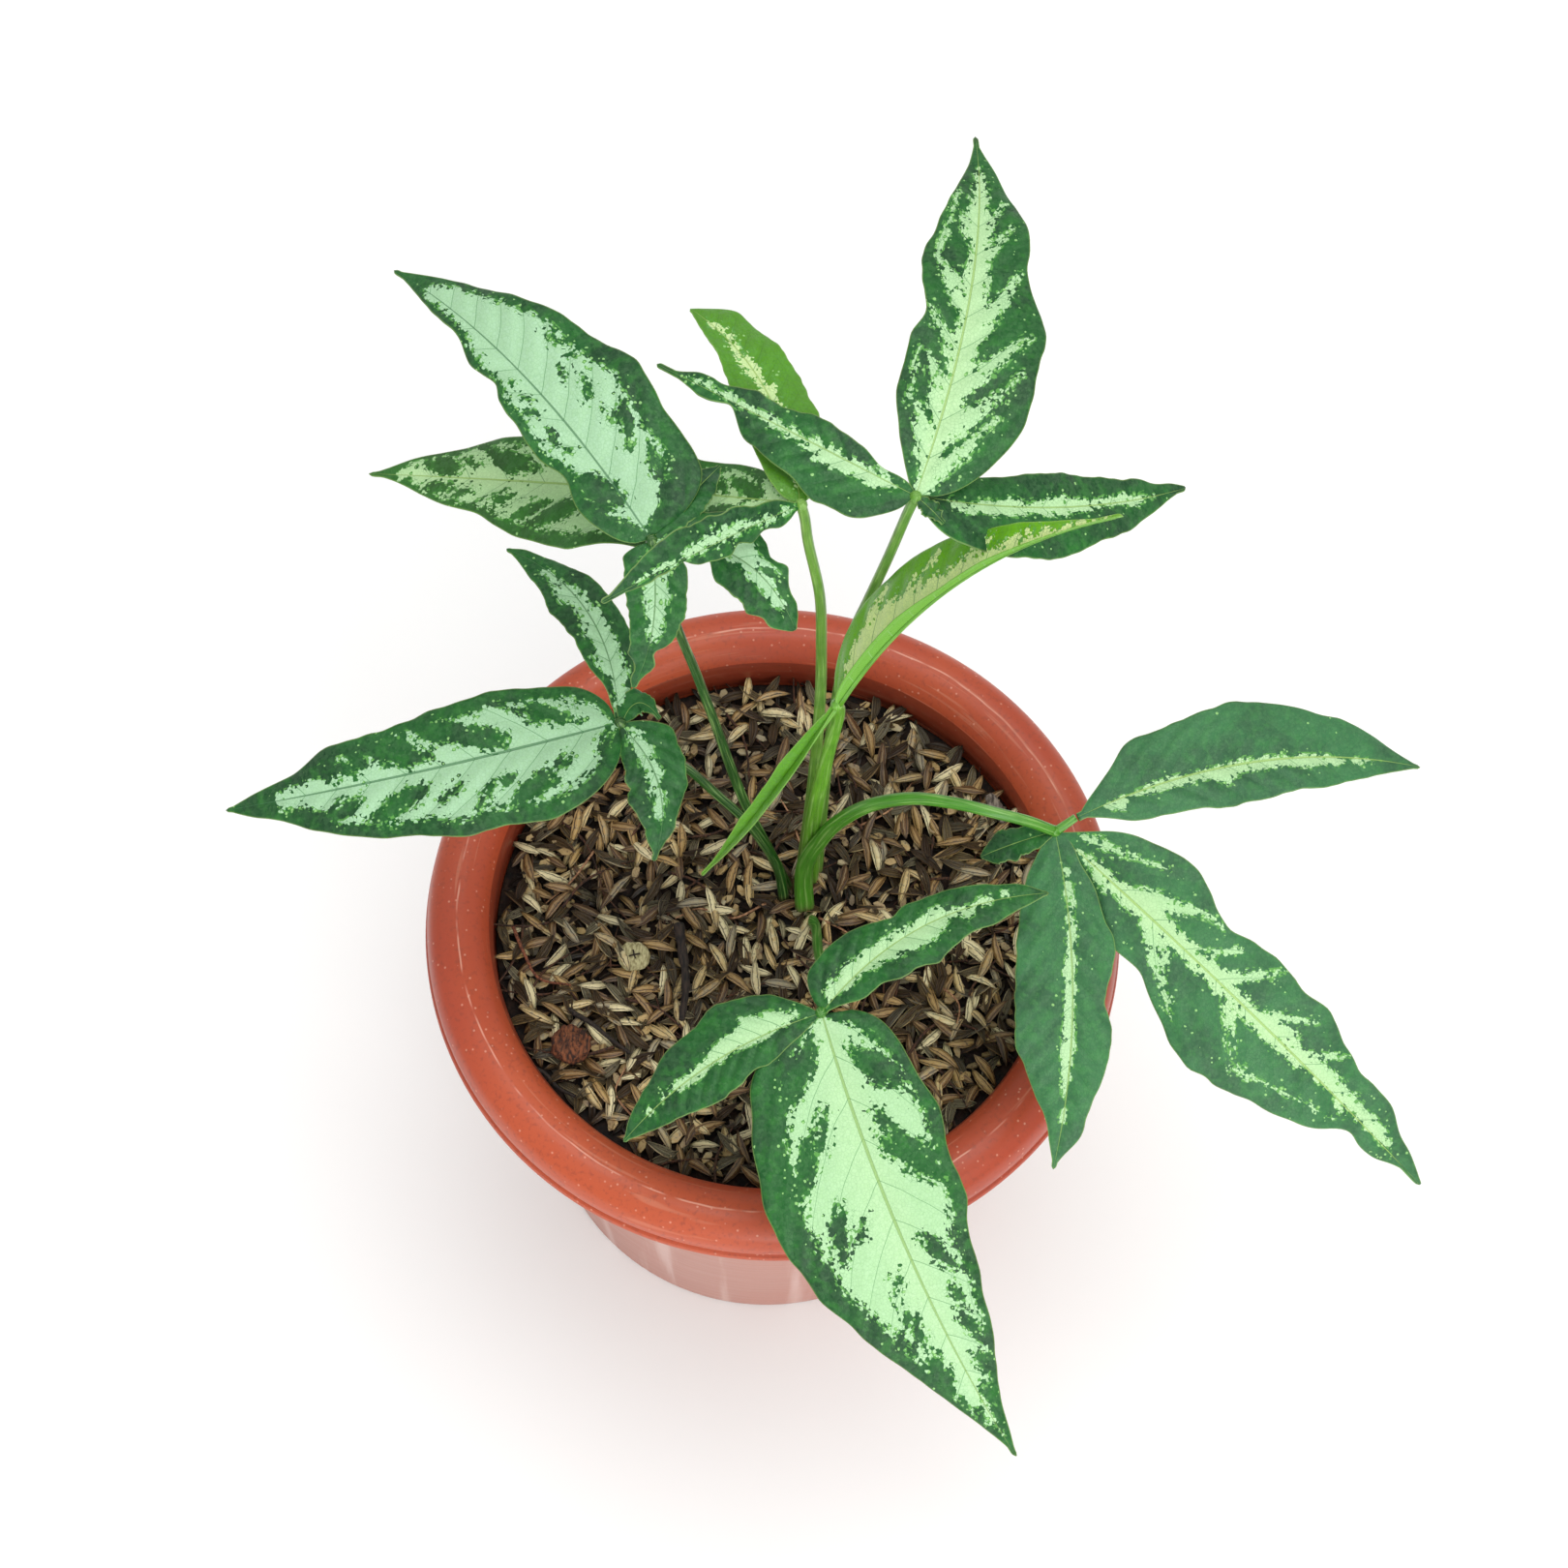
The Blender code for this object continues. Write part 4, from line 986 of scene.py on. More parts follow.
FRONT = Leaf(
    "blade_front", knuckle=(12, -44, 182), low_radius=1.4, top_radius=1.1, stalk="3A7A26",
    route=((9, 4, 122), (10.5, -2, 130), (11, -11.5, 142), (12, -25, 158), (12, -38, 174)),
    leaflets=(
        Leaflet((62, -131, 128), (19.8, 24), (26, 29), fullness=0.4, taper=1.3, bow=-3.7, arch=10, roll=-12,
            wave=1.2, fringe=1.3, sparks=0.03, silver=0.35,
            bulges=(((2, 1.5), (17, -1.7), (35, -1.9), (52, -1.6), (73, 0.8), (94, 0.7)),
                    ((8, 3), (20, 1.7), (31, 2.8), (41, 3), (52, 2.4), (63, 0.8))),
            pale=((0, 3, 5), (2, 35, 30), (5, 60, 50), (10, 76, 60), (30, 80, 70), (45, 75, 72),
                (60, 80, 70), (68, 80, 70), (75, 75, 68), (82, 62, 60), (87, 35, 50), (90, 10, 40),
                (93, 0, 20)),
            dark=((7, 30, 12, 45, 2.4), (10, 40, 18, 72, 7), (21, 28, 29, 47, 3), (28, 40, 38, 78, 8),
                (26, 22, 33, 40, 3.6), (48, 33, 57, 62, 4), (60, 45, 65, 62, 2.4), (66, 45, 74, 76, 3.4),
                (75, 50, 80, 70, 3), (83, 40, 88, 60, 4), (5, -30, 16, -68, 6), (18, -28, 26, -44, 3),
                (22, -45, 32, -68, 5), (36, -40, 47, -62, 4.6), (40, -25, 44, -36, 2),
                (53, -20, 57, -32, 2.4), (60, -33, 72, -46, 2.8), (64, -58, 71, -70, 2.4),
                (72, -50, 81, -76, 5), (85, -55, 90, -70, 3))),
        Leaflet((63, -16, 192), (8.6, 8.5), (25, 45), fullness=0.5, taper=0.85, bow=5.9, roll=3, fringe=0.8,
            bulges=(((6, 3.2), (16, 1.6), (26, 1), (41, -2.1), (53, -0.8), (90, 1)),
                    ((5, -1.4), (23, -1.5), (49, 1.1), (66, -1))),
            pale=((3, 10, 10), (6.5, 33, 8), (14, 35, 20), (17, 33, 10), (24, 33, 33), (25, 33, 48),
                (28, 33, 30), (34, 25, 42), (40, 40, 48), (46, 25, 50), (54, 46, 42), (58.5, 42, 35),
                (61, 25, 20), (65, 20, 12), (67, 12, 42), (71, 10, 40), (72, 20, 12), (75, 33, 10),
                (79, 37, 0), (80, 0, 0)),
            light=((84, 35, 86, 5, 1.8),)),
        Leaflet((-32, -71, 164), (8.5, 10.6), (49, 34), fullness=0.75, taper=0.94, bow=-2.8, arch=4,
            fringe=0.8, silver=0.25,
            bulges=(((35, -1),), ((17, 0.7), (38, 0.8), (90, 0.4))),
            pale=((7, -30, 50), (10, -10, 45), (14, 2, 40), (16.5, 5, 50), (24, 12, 50), (31, 14, 47),
                (36, 7, 30), (43, 17, 32), (48, 7, 30), (50, 7, 18), (63, 13, 13), (70, 5, 12), (76, 0, 12),
                (77, 0, 0)),
            light=((82.5, -2, 84.5, -10, 1.8),)),
    ))
LEAVES = (TALL_LEFT, LOW_LEFT, TALL_MIDDLE, TALL_RIGHT, YOUNG, LOW_RIGHT, FRONT)


@dataclass
class Blade:
    """A leaf's blade: its leaflets, the ribs under them and the knuckle that they grow from."""

    leaf: Leaf
    number: int
    rows: int = 112
    columns: int = 36
    thickness: float = 0.5
    start: float = 0.6  # gap between the knuckle and a leaflet
    seat: float = 0.2  # how far a rib lies below the middle of the blade
    rib: float = 0.65  # radius of a rib
    long_rib: float = 0.95  # the same in a leaflet that is longer than the next value
    long: float = 60.0

    def find_grid(self) -> tuple[np.ndarray, np.ndarray]:
        """Spaces the grid's lines, closer together at the ends and at the edges.

        Returns:
            Their shares along and across.
        """
        step, share = np.linspace(0, 1, self.rows), np.linspace(0, 1, self.columns // 2 + 1)
        along = 0.75 * step + 0.25 * (1 - np.cos(math.pi * step)) / 2
        spread = np.sin(math.pi / 2 * share) * 0.3 + share * 0.7
        return along, np.concatenate([-spread[::-1], spread[1:]])

    def add_leaflet(self, shell: Shell, leaflet: Leaflet, seed: float) -> None:
        """Adds a leaflet's two faces, the rim between them and the rib below.

        Args:
            shell: the mesh so far.
            leaflet: its form.
            seed: sets its pattern.
        """
        tip, origin = np.array(leaflet.tip, float), np.array(leaflet.base or self.leaf.knuckle, float)
        base = origin + unit(tip - origin) * self.start
        length = float(np.linalg.norm(tip - base))
        along, across = self.find_grid()
        points, normals, width = leaflet.surface(base, along, across, seed)
        body = normals * (self.thickness / 2 * (1 - 0.55 * across[None, :, None] ** 2))
        columns, count = len(across), width.size
        grid, numbers = grid_faces(self.rows, columns, closed=False), np.arange(count).reshape(width.shape)
        loop = [*numbers[:, 0], *numbers[-1, 1:], *numbers[-2::-1, -1], *numbers[0, -2:0:-1]]
        faces = grid + [tuple(count + corner for corner in face[::-1]) for face in grid]
        faces += [(b, a, a + count, b + count) for a, b in zip(loop, [*loop[1:], loop[0]])]
        inner = leaflet.find_inner(length, along, across, width)
        place, form = [
            np.tile(np.stack(np.broadcast_arrays(*parts), -1).reshape(-1, 3), (2, 1))
            for parts in ((across * width, (along * length)[:, None], seed * 40.0),
                          (inner, width, leaflet.vein_spacing(length)))]
        tone = np.tile((leaflet.silver, leaflet.youth, 0.0), (2 * count, 1))
        tone[count:, 2] = 1.0  # the under side
        shell.add(np.vstack([side.reshape(-1, 3) for side in (points + body, points - body)]), faces,
                  leaf_place=place, leaf_form=form, leaf_tone=tone,
                  leaf_look=(leaflet.fringe, leaflet.sparks, leaflet.painted_sheen))
        thick, middle = self.long_rib if length > self.long else self.rib, columns // 2

        def rib(share: float, angles: np.ndarray) -> np.ndarray:
            """The rib's radius: flatter above, so that it shows only below the blade."""
            return thick * (1 - 0.8 * share) * (1 - 0.62 * np.clip(np.cos(angles), 0, 1))

        spine = points[::4, middle] - normals[::4, middle] * self.seat
        self.add_green(shell, *swept(spine, rib, 10, tuple(normals[self.rows // 2, middle])))

    def add_green(self, shell: Shell, corners: np.ndarray, faces: list, place: np.ndarray) -> None:
        """Adds a part with the stalk's skin.

        Args:
            shell: the mesh so far.
            corners: its corners.
            faces: corner numbers of each face.
            place: each corner's place around and along.
        """
        shell.add(corners, faces, Slot.STALK, stalk_place=place, stalk_colour=linear(self.leaf.stalk)[:3],
                  stalk_wear=(0.0, 0.4, 0.0))

    def make(self, blade_skin: bpy.types.Material, stalk_skin: bpy.types.Material) -> bpy.types.Object:
        """Builds the blade.

        Args:
            blade_skin: finish of the leaflets.
            stalk_skin: finish of the ribs and the knuckle.

        Returns:
            The finished piece.
        """
        shell = Shell()
        for index, leaflet in enumerate(self.leaf.leaflets):
            self.add_leaflet(shell, leaflet, self.number * 5.3 + index * 1.7)
            if leaflet.base:
                route = smooth_route((self.leaf.knuckle, leaflet.base), 8)
                self.add_green(shell, *swept(route, plain_round(1.15, 0.95), 12))
        knuckle, towards = self.leaf.find_end()

        def swelling(share: float, angles: np.ndarray) -> np.ndarray:
            """A round joint a little thicker than the stalk."""
            return 0.25 + 1.15 * math.sin(math.pi * (0.12 + 0.8 * share)) ** 0.7 + 0 * angles

        route = knuckle + towards * np.linspace(-1.7, 1.2, 9)[:, None]
        self.add_green(shell, *swept(route, swelling, 14, (1, 0, 0)))
        return shell.build(self.leaf.node + "_dressed", blade_skin, stalk_skin)


@dataclass
class Stalks:
    """A clump of leaf stalks that rises from the mix."""

    name: str
    leaves: tuple
    sunk: float = 8.0  # how deep it goes on below the route's start
    gap: float = 0.9  # how far below the middle of the knuckle a stalk ends
    soiled: float = 127.0  # below this height a stalk is brown
    pieces: int = 8
    sides: int = 24

    def find_section(self, leaf: Leaf) -> Section:
        """Shapes a round stalk with a groove on the side that faces the plant's middle.

        Args:
            leaf: the leaf that it carries.

        Returns:
            Its section.
        """

        def section(share: float, angles: np.ndarray) -> np.ndarray:
            """Finds the stalk's radius.

            Args:
                share: share of its length.
                angles: directions around it.

            Returns:
                The radius in each direction.
            """
            radius = leaf.top_radius + (leaf.low_radius - leaf.top_radius) * (1 - share) ** 1.5
            sheath = leaf.sheath * min(max((0.62 - share) / 0.12, 0.0), 1.0)
            turn = (angles + math.pi) % TURN - math.pi
            groove = (0.12 + 0.38 * sheath) * np.exp(-(turn / (0.35 + 0.1 * sheath)) ** 2)
            return radius * (1 + 0.05 * sheath - groove + 0.02 * np.cos(5 * angles))

        return section

    def make(self, skin: bpy.types.Material) -> bpy.types.Object:
        """Builds the clump.

        Args:
            skin: the stalks' finish.

        Returns:
            The finished piece.
        """
        shell = Shell()
        for leaf in self.leaves:
            knuckle, towards = leaf.find_end()
            (x, y, level), top = leaf.route[0], knuckle - towards * self.gap
            route = smooth_route(((x, y, level - self.sunk), *leaf.route, tuple(top)), self.pieces)
            corners, faces, place = swept(route, self.find_section(leaf), self.sides, (0.15, -0.6, 0.8))
            wear = np.zeros((len(corners), 3))
            wear[:, 0] = np.clip((self.soiled - corners[:, 2]) / 6, 0, 0.6)
            shell.add(corners, faces, stalk_place=place, stalk_colour=linear(leaf.stalk)[:3], stalk_wear=wear)
        return shell.build(self.name + "_dressed", skin)


@dataclass(frozen=True)
class DryMatter:
    """Dry plant or earth matter: matt, fibrous or crumbly, so the eye sees no gloss but a two-toned grain."""

    name: str
    light: str  # colour of the ridges of its grain
    dark: str  # colour between them
    grain: float  # width of its grain
    stretch: float = 1.0  # how much longer the grain is than wide

    def make(self) -> bpy.types.Material:
        """Builds the material in the piece's own coordinates.

        Returns:
            The material.
        """
        made, g = new_material(self.name)
        place = g.add("TexCoord", out="Object")
        place = g.add("Mapping", place, put={"Scale": (1.0, 1.0 / self.stretch, 1.0)})
        grain = g.add("TexNoise", place, None, 1 / (self.grain * MM), 4.0)
        colour = g.paint(self.dark, (g.add("MapRange", grain, 0.35, 0.65, **SMOOTH), self.light))
        g.finish(colour, 0.85, grain, 0.4, 0.8)
        return made


@dataclass(frozen=True)
class PottingMix:
    """Dark, moist potting mix: crumbly and matt, so it looks almost black between the husks."""

    name: str = "moist potting mix"
    crumb: float = 2.4  # width of a crumb

    def make(self) -> bpy.types.Material:
        """Builds the material in the mix's own coordinates.

        Returns:
            The material.
        """
        made, g = new_material(self.name)
        crumb = g.add("TexNoise", g.add("TexCoord", out="Object"), None, 1 / (self.crumb * MM), 6.0)
        colour = g.paint("0F0A08", (g.add("MapRange", crumb, 0.4, 0.75), "3A2518"))
        g.finish(colour, 0.9, crumb, 1.2, 0.9)
        return made


@dataclass(frozen=True)
class HuskSkin:
    """Rice husk: a dry, silica-hard hull with fine ridges, golden when fresh and olive-brown when weathered.

    The hard ridges give small glints. Their tops carry a painted highlight, and painted shade darkens the
    grooves, the ends, the open hulls inside and the husks low in the pile.
    """

    name: str = "rice husk"
    shades: tuple = ((0.0, "2A1A0E"), (0.2, "50371F"), (0.38, "745433"), (0.55, "957345"), (0.7, "B7935A"),
                     (0.8, "9B917A"), (0.9, "CDAE74"), (1.0, "E6D6A8"))
    fleck: float = 1.1  # width of a fleck
    patch: float = 28.0  # width of an area where they are damper and darker
    ridges: float = 5.0  # around a hull; real ones have more, too fine to show

    def make(self) -> bpy.types.Material:
        """Builds the material from each husk's own tone and height and its places around and along the hull.

        Returns:
            The material.
        """
        made, g = new_material(self.name)
        tone, lift = [g.add("Attribute", out="Fac", attribute_name=f"husk_{kind}")
                      for kind in ("tone", "lift")]
        hull = g.add("Attribute", out="Vector", attribute_name="husk_hull")
        around, along, _ = g.add("SeparateXYZ", hull, out=None)
        place = g.add("TexCoord", out="Object")
        fleck = g.add("TexNoise", place, None, 1 / (self.fleck * MM), 3.0)
        patch = g.add("TexNoise", place, None, 1 / (self.patch * MM), 1.0)
        ridge = g.add("Math", around * self.ridges + fleck * 0.5, 0.5, operation="PINGPONG")
        colour = g.add("ValToRGB", tone * 0.88 + (fleck * 0.25 + 0.13))
        bands = colour.socket.node.color_ramp.elements
        for (position, shade), band in zip((self.shades[0], self.shades[-1]), bands):
            band.position, band.color = position, linear(shade)
        for position, shade in self.shades[1:-1]:
            bands.new(position).color = linear(shade)
        ends = g.add("Math", along, 0.5, operation="PINGPONG")
        inside = around > 1.5
        colour = g.paint(
            colour,
            # painted shade in the grooves between ridges, and a painted highlight on the ridge tops
            (g.add("MapRange", ridge, 0.02, 0.16, 0.9, 0.0, **SMOOTH), "1A100A"),
            (g.add("MapRange", ridge, 0.38, 0.5, 0.0, 0.3, **SMOOTH), "D9C48F"),
            # painted shade towards both ends of a hull
            (g.add("MapRange", ends, 0.0, 0.16, 0.6, 0.0, **SMOOTH), "3B2A1D"),
            (g.add("MapRange", fleck, 0.56, 0.72, 0.0, 0.6, **SMOOTH), "33231A"),
            # painted shade inside the open hulls
            (inside * 0.75, "20150D"),
            (g.add("MapRange", patch, 0.45, 0.65, 0.0, 0.35, **SMOOTH), "1A120B"),
            # painted shade on husks that lie low in the pile, between the higher ones
            (g.add("MapRange", lift, 0.06, 0.42, 0.92, 0.0, **SMOOTH), "0E0805"))
        g.finish(colour, 0.45, ridge, 0.45, 1.0)
        return made


@dataclass(frozen=True)
class Litter:
    """How one kind of litter lies on the mix."""

    name: str
    count: Scatter
    seed: int
    tilt: float  # how far a piece may lean, in radians
    pile: float  # how high it may lie
    palest: float  # the highest tone


@dataclass
class Mix:
    """The root ball with its litter of rice husks, crumbs and fibres."""

    height: float = 121.5
    crown: float = 1.2  # how much lower its edge is than its middle
    foot: float = 5.3
    foot_radius: float = 55.1
    taper: float = 13.0 / 123.0
    rings: int = 64
    steps: int = 180
    husk_length: float = 9.0
    husk_width: float = 2.15
    hull_wall: float = 0.3
    husk_rows: int = 6
    husk_sides: int = 7
    crumb_outline: tuple = ((1.6, 0.2), (0.5, 0.9), (-1.3, 0.6), (-1.8, -0.3), (-0.2, -0.8), (1.1, -0.6))
    crumb_height: float = 0.55
    fibre: tuple = ((-11, -1, 0.4), (-4, 1.2, 1.0), (4, 0.4, 0.7), (11, -1.4, 0.2))
    sizes: tuple = (0.75, 1.12)  # the smallest and largest piece of litter, as shares of its own size
    litter: tuple = (
        Litter("whole_husks", Scatter.WHOLE_HUSKS, 3, 0.42, 3.2, 1.0),
        Litter("split_husks", Scatter.SPLIT_HUSKS, 8, 0.5, 3.4, 0.98),
        Litter("crumbs", Scatter.CRUMBS, 21, 0.5, 2.0, 0.7),
        Litter("fibres", Scatter.FIBRES, 34, 0.1, 2.6, 1.0))
    ground_lift: float = 0.6  # how high above the mix the litter starts
    ground_gap: float = 2.2  # how far from the mix's edge it stays
    ground_rings: int = 14
    ground_steps: int = 72

    def radius(self, height: float) -> float:
        """How far out the mix reaches at a height."""
        return self.foot_radius + self.taper * height

    def top(self, x: float, y: float) -> float:
        """The height of the mix at a place."""
        return self.height - self.crown * (math.hypot(x, y) / self.radius(self.height)) ** 2

    def make_ball(self, finish: bpy.types.Material) -> bpy.types.Object:
        """Builds the root ball with a lumpy top.

        Args:
            finish: the potting mix.

        Returns:
            The ball, which stands for the node soil.
        """
        edge, bottom = self.radius(self.height - self.crown), self.radius(self.foot)
        rows = [(edge * ring / self.rings, 0.0) for ring in range(self.rings + 1)]
        rows += [(self.radius(level), level) for level in np.linspace(self.height - 8, self.foot, 12)]
        rows += [(bottom * share, self.foot) for share in (0.7, 0.4, 0.15, 0.0)]
        corners, faces = turned(rows, self.steps)
        for corner in corners[:self.rings * self.steps]:
            x, y, _ = corner
            lump = 1.1 * dent(x, y, 0, 0.12) + 0.8 * dent(x, y, 9, 0.4)
            corner[2] = self.top(x, y) + lump * min((edge - math.hypot(x, y)) / 4, 1.0)
        corners[-2, 2] = self.height
        return Shell().add(corners, faces).build("root_ball", finish)

    def make_husk(self, split: bool) -> bpy.types.Object:
        """Builds one husk, with each corner's places around and along its hull.

        Args:
            split: whether it is a half hull, hollow side up, or a whole one.

        Returns:
            A single husk at the origin, along X.
        """
        turns = [(side / (self.husk_sides - int(split)), 0.0) for side in range(self.husk_sides)]
        if split:
            turns += [(turn, self.hull_wall) for turn, _ in turns[::-1]]
        corners, places = [], []
        for row in range(self.husk_rows + 1):
            share = row / self.husk_rows
            girth = math.sin(math.pi * (0.03 + 0.94 * share ** 0.85)) ** 0.9
            bend = math.sin(math.pi * share)
            for side, (turn, wall) in enumerate(turns):
                angle = math.pi * (1.0 + turn) if split else TURN * turn
                ridge = 1.0 + (0.16 if side % 2 else 0.0)
                flat, deep = [self.husk_width * part * girth * ridge for part in (0.5, 0.4 if split else 0.3)]
                y, z = (flat - wall) * math.cos(angle), (deep - wall) * math.sin(angle)
                corners.append((self.husk_length * (share - 0.5), y + 0.5 * bend, z + 0.6 * bend))
                places.append((turn + (2.0 if wall else 0.0), share, 0.0))
        husk = Shell().add(corners, bar_faces(self.husk_rows + 1, len(turns)), husk_hull=places).build("husk")
        for end in husk.data.polygons[:2]:
            end.use_smooth = False
        return husk

    def make_crumb(self) -> bpy.types.Object:
        """Builds one angular crumb of bark or broken husk.

        Returns:
            A single crumb at the origin.
        """
        corners = [(*corner, level) for level in (0.0, self.crumb_height) for corner in self.crumb_outline]
        shell = Shell().add(corners, bar_faces(2, len(self.crumb_outline)), husk_hull=(0.45, 0.5, 0.0))
        return shell.build("crumb", smooth=False)

    def make_fibre(self) -> bpy.types.Object:
        """Builds one thin bent fibre.

        Returns:
            A single fibre at the origin.
        """

        def flattened(share: float, angles: np.ndarray) -> np.ndarray:
            """The fibre's radius, which narrows to its end."""
            return (0.5 - 0.3 * share) * (1 + 0.4 * np.cos(2 * angles))

        corners, faces, _ = swept(smooth_route(self.fibre, 3), flattened, 5)
        return Shell().add(corners, faces).build("fibre")

    def make_ground(self) -> bpy.types.Object:
        """Builds the disc on which the litter is strewn, clear of the pot's wall.

        Returns:
            The disc.
        """
        edge = self.radius(self.height) - self.ground_gap
        corners = [(0, 0, self.top(0, 0) + self.ground_lift)]
        for ring in range(1, self.ground_rings + 1):
            for index in range(self.ground_steps):
                radius, angle = edge * ring / self.ground_rings, TURN * index / self.ground_steps
                x, y = radius * math.cos(angle), radius * math.sin(angle)
                corners.append((x, y, self.top(x, y) + self.ground_lift + 0.9 * dent(x, y, 0, 0.12)))
        faces = [(0, 1 + index, 1 + (index + 1) % self.ground_steps) for index in range(self.ground_steps)]
        faces += grid_faces(self.ground_rings, self.ground_steps, start=1)
        return Shell().add(corners, faces).build("ground")

    def make_tree(self) -> bpy.types.GeometryNodeTree:
        """Builds the node group that strews one kind of litter over a surface.

        Returns:
            The group, with named inputs.
        """
        tree, g, (ground, piece, density, seed, tilt, pile, smallest, largest, palest, finish) = new_group(
            "strew litter", Ground="Geometry", Piece="Object", Density="Float", Seed="Int", Tilt="Float",
            Pile="Float", Smallest="Float", Largest="Float", Palest="Float", Finish="Material")
        litter = g.add("GeometryNodeDistributePointsOnFaces", ground, put={"Density": density, "Seed": seed})
        rise = g.add("FunctionNodeRandomValue", put={2: 0.0, 3: pile, "Seed": seed}, out=1)
        litter = g.add("GeometryNodeSetPosition", litter, put={"Offset": g.add("CombineXYZ", 0.0, 0.0, rise)})
        share = rise / g.add("Math", pile, 0.0001, operation="MAXIMUM")
        litter = g.add("GeometryNodeStoreNamedAttribute", litter, put={"Name": "husk_lift", "Value": share})
        turn = g.add("FunctionNodeRandomValue", g.add("CombineXYZ", tilt * -1, tilt * -1, 0.0),
                     g.add("CombineXYZ", tilt, tilt, TURN), put={"Seed": seed}, data_type="FLOAT_VECTOR")
        size = g.add("FunctionNodeRandomValue", put={2: smallest, 3: largest, "Seed": seed}, out=1)
        form = g.add("GeometryNodeObjectInfo", piece, out="Geometry")
        litter = g.add("GeometryNodeInstanceOnPoints", litter,
                       put={"Instance": form, "Rotation": turn, "Scale": size})
        shade = g.add("FunctionNodeRandomValue", put={2: 0.0, 3: palest, "Seed": 7}, out=1)
        litter = g.add("GeometryNodeStoreNamedAttribute", litter, put={"Name": "husk_tone", "Value": shade},
                       domain="INSTANCE")
        litter = g.add("GeometryNodeRealizeInstances", litter)
        g.add("NodeGroupOutput", g.add("GeometryNodeSetMaterial", litter, put={"Material": finish}))
        return tree

    def make(self) -> None:
        """Builds and dresses the root ball and its litter."""
        dress(self.make_ball(PottingMix().make()), "rice_husk_mix", "soil")
        husk = HuskSkin().make()
        coir = DryMatter("coir fibre", "5A3824", "20130C", 0.7, 3.0).make()
        tree, ground = self.make_tree(), self.make_ground()
        area = math.pi * (self.radius(self.height) * MM) ** 2
        pieces = (self.make_husk(False), self.make_husk(True), self.make_crumb(), self.make_fibre())
        for litter, piece, finish in zip(self.litter, pieces, (husk, husk, husk, coir)):
            dress(run_group(litter.name, ground, tree, Piece=piece, Density=litter.count.value / area,
                            Seed=litter.seed, Tilt=litter.tilt, Pile=litter.pile * MM, Smallest=self.sizes[0],
                            Largest=self.sizes[1], Palest=litter.palest, Finish=finish), "rice_husk_mix")
        for used in (ground, *pieces):
            bpy.data.objects.remove(used, do_unlink=True)


@dataclass(frozen=True)
class MouldedPlastic:
    """Terracotta-coloured polypropylene: injection moulded, so the eye sees a smooth satin skin.

    It has a fine seam on the rim and dried dust on the body below it.
    """

    name: str = "terracotta polypropylene"
    fresh: str = "AB432A"
    warm: str = "BA5230"
    worn: str = "93402B"
    dust: str = "B78F84"
    shadow: str = "5E2216"
    seam_radius: float = 76.8
    seam_above: float = 134.2
    seam_wave: float = 17.0  # length over which the seam wanders
    seam_gap: float = 8.0  # length of a stretch where it is worn away
    mouth: tuple = (69.3, 121.0)  # the radius inside which, and the height above which, the inner wall shows
    dust_end: tuple = (121.5, 123.5)  # heights between which the dust ends
    body: tuple = (56.2, 0.1057)  # a radius just inside the outer wall at the foot, and its taper
    grain: float = 1.1  # width of the mould's texture; real ones are finer than a pixel
    speck: float = 1.6  # distance between pale specks
    cloud: float = 70.0  # width of a warmer area

    def make(self) -> bpy.types.Material:
        """Builds the material in the pot's own coordinates.

        Returns:
            The material.
        """
        made, g = new_material(self.name)
        place = g.add("TexCoord", out="Object")
        x, y, z = g.add("SeparateXYZ", place, out=None)
        radius = g.add("VectorMath", g.add("CombineXYZ", x, y), out="Value", operation="LENGTH")
        east, north = x / radius, y / radius
        broad = g.add("TexNoise", place, None, 1 / (self.cloud * MM), 3.0)
        fine = g.add("TexNoise", place, None, 1 / (self.grain * MM), 2.0)
        distance, tint = g.add("TexVoronoi", place, None, 1 / (self.speck * MM), out=("Distance", "Color"))
        rare = g.add("SeparateColor", tint) > 0.7
        speck = g.add("MapRange", distance, 0.1, 0.24, 1.0, 0.0, **SMOOTH) * rare

        wander = g.add("TexNoise", place, None, 1 / (self.seam_wave * MM), 2.0) - 0.5
        seam = abs(radius - self.seam_radius * MM - wander * (1.4 * MM))
        seam = g.add("MapRange", seam, 0.1 * MM, 0.3 * MM, 1.0, 0.0, **SMOOTH) * (z > self.seam_above * MM)
        gaps = g.add("TexNoise", place, None, 1 / (self.seam_gap * MM), 1.0)
        seam = seam * g.add("MapRange", gaps, 0.35, 0.6, **SMOOTH)
        inner = (radius < self.mouth[0] * MM) * (z > self.mouth[1] * MM)

        low = g.add("MapRange", z, *[level * MM for level in self.dust_end], 1.0, 0.0, **SMOOTH)
        outer = low * (radius > z * self.body[1] + self.body[0] * MM)
        drip = g.add("TexNoise", g.add("CombineXYZ", east, north, z * 0.9), None, 9.0, 4.0)
        dusty = g.paint(self.dust, (g.add("MapRange", drip, 0.5, 0.72, 0.0, 0.8, **SMOOTH), "D2B8B0"))
        around = g.add("CombineXYZ", east * 2, north * 2, (radius + z) * 600)
        scuff = g.add("TexNoise", around, None, 1.0, 2.0)
        scratch = g.add("MapRange", scuff, 0.62, 0.7, 0.0, 0.3, **SMOOTH)
        colour = g.paint(
            self.fresh,
            (g.add("MapRange", broad, 0.35, 0.7, **SMOOTH), self.warm),
            (g.add("MapRange", fine, 0.5, 0.75, 0.0, 0.6, **SMOOTH), self.worn),
            (scratch, "D08C70"), (speck * 0.5, "E0A58C"), (seam * 0.7, "E0A08A"), (inner * 0.6, self.shadow),
            (outer * g.add("MapRange", broad, 0.2, 0.8, 0.95, 0.75, **SMOOTH), dusty))
        rough = g.add("MapRange", scuff, 0.4, 0.7, 0.36, 0.5) + outer * 0.2
        g.finish(colour, rough, fine * 0.5 + seam * 0.6, 0.12, 0.35, Specular_IOR_Level=0.4)
        return made


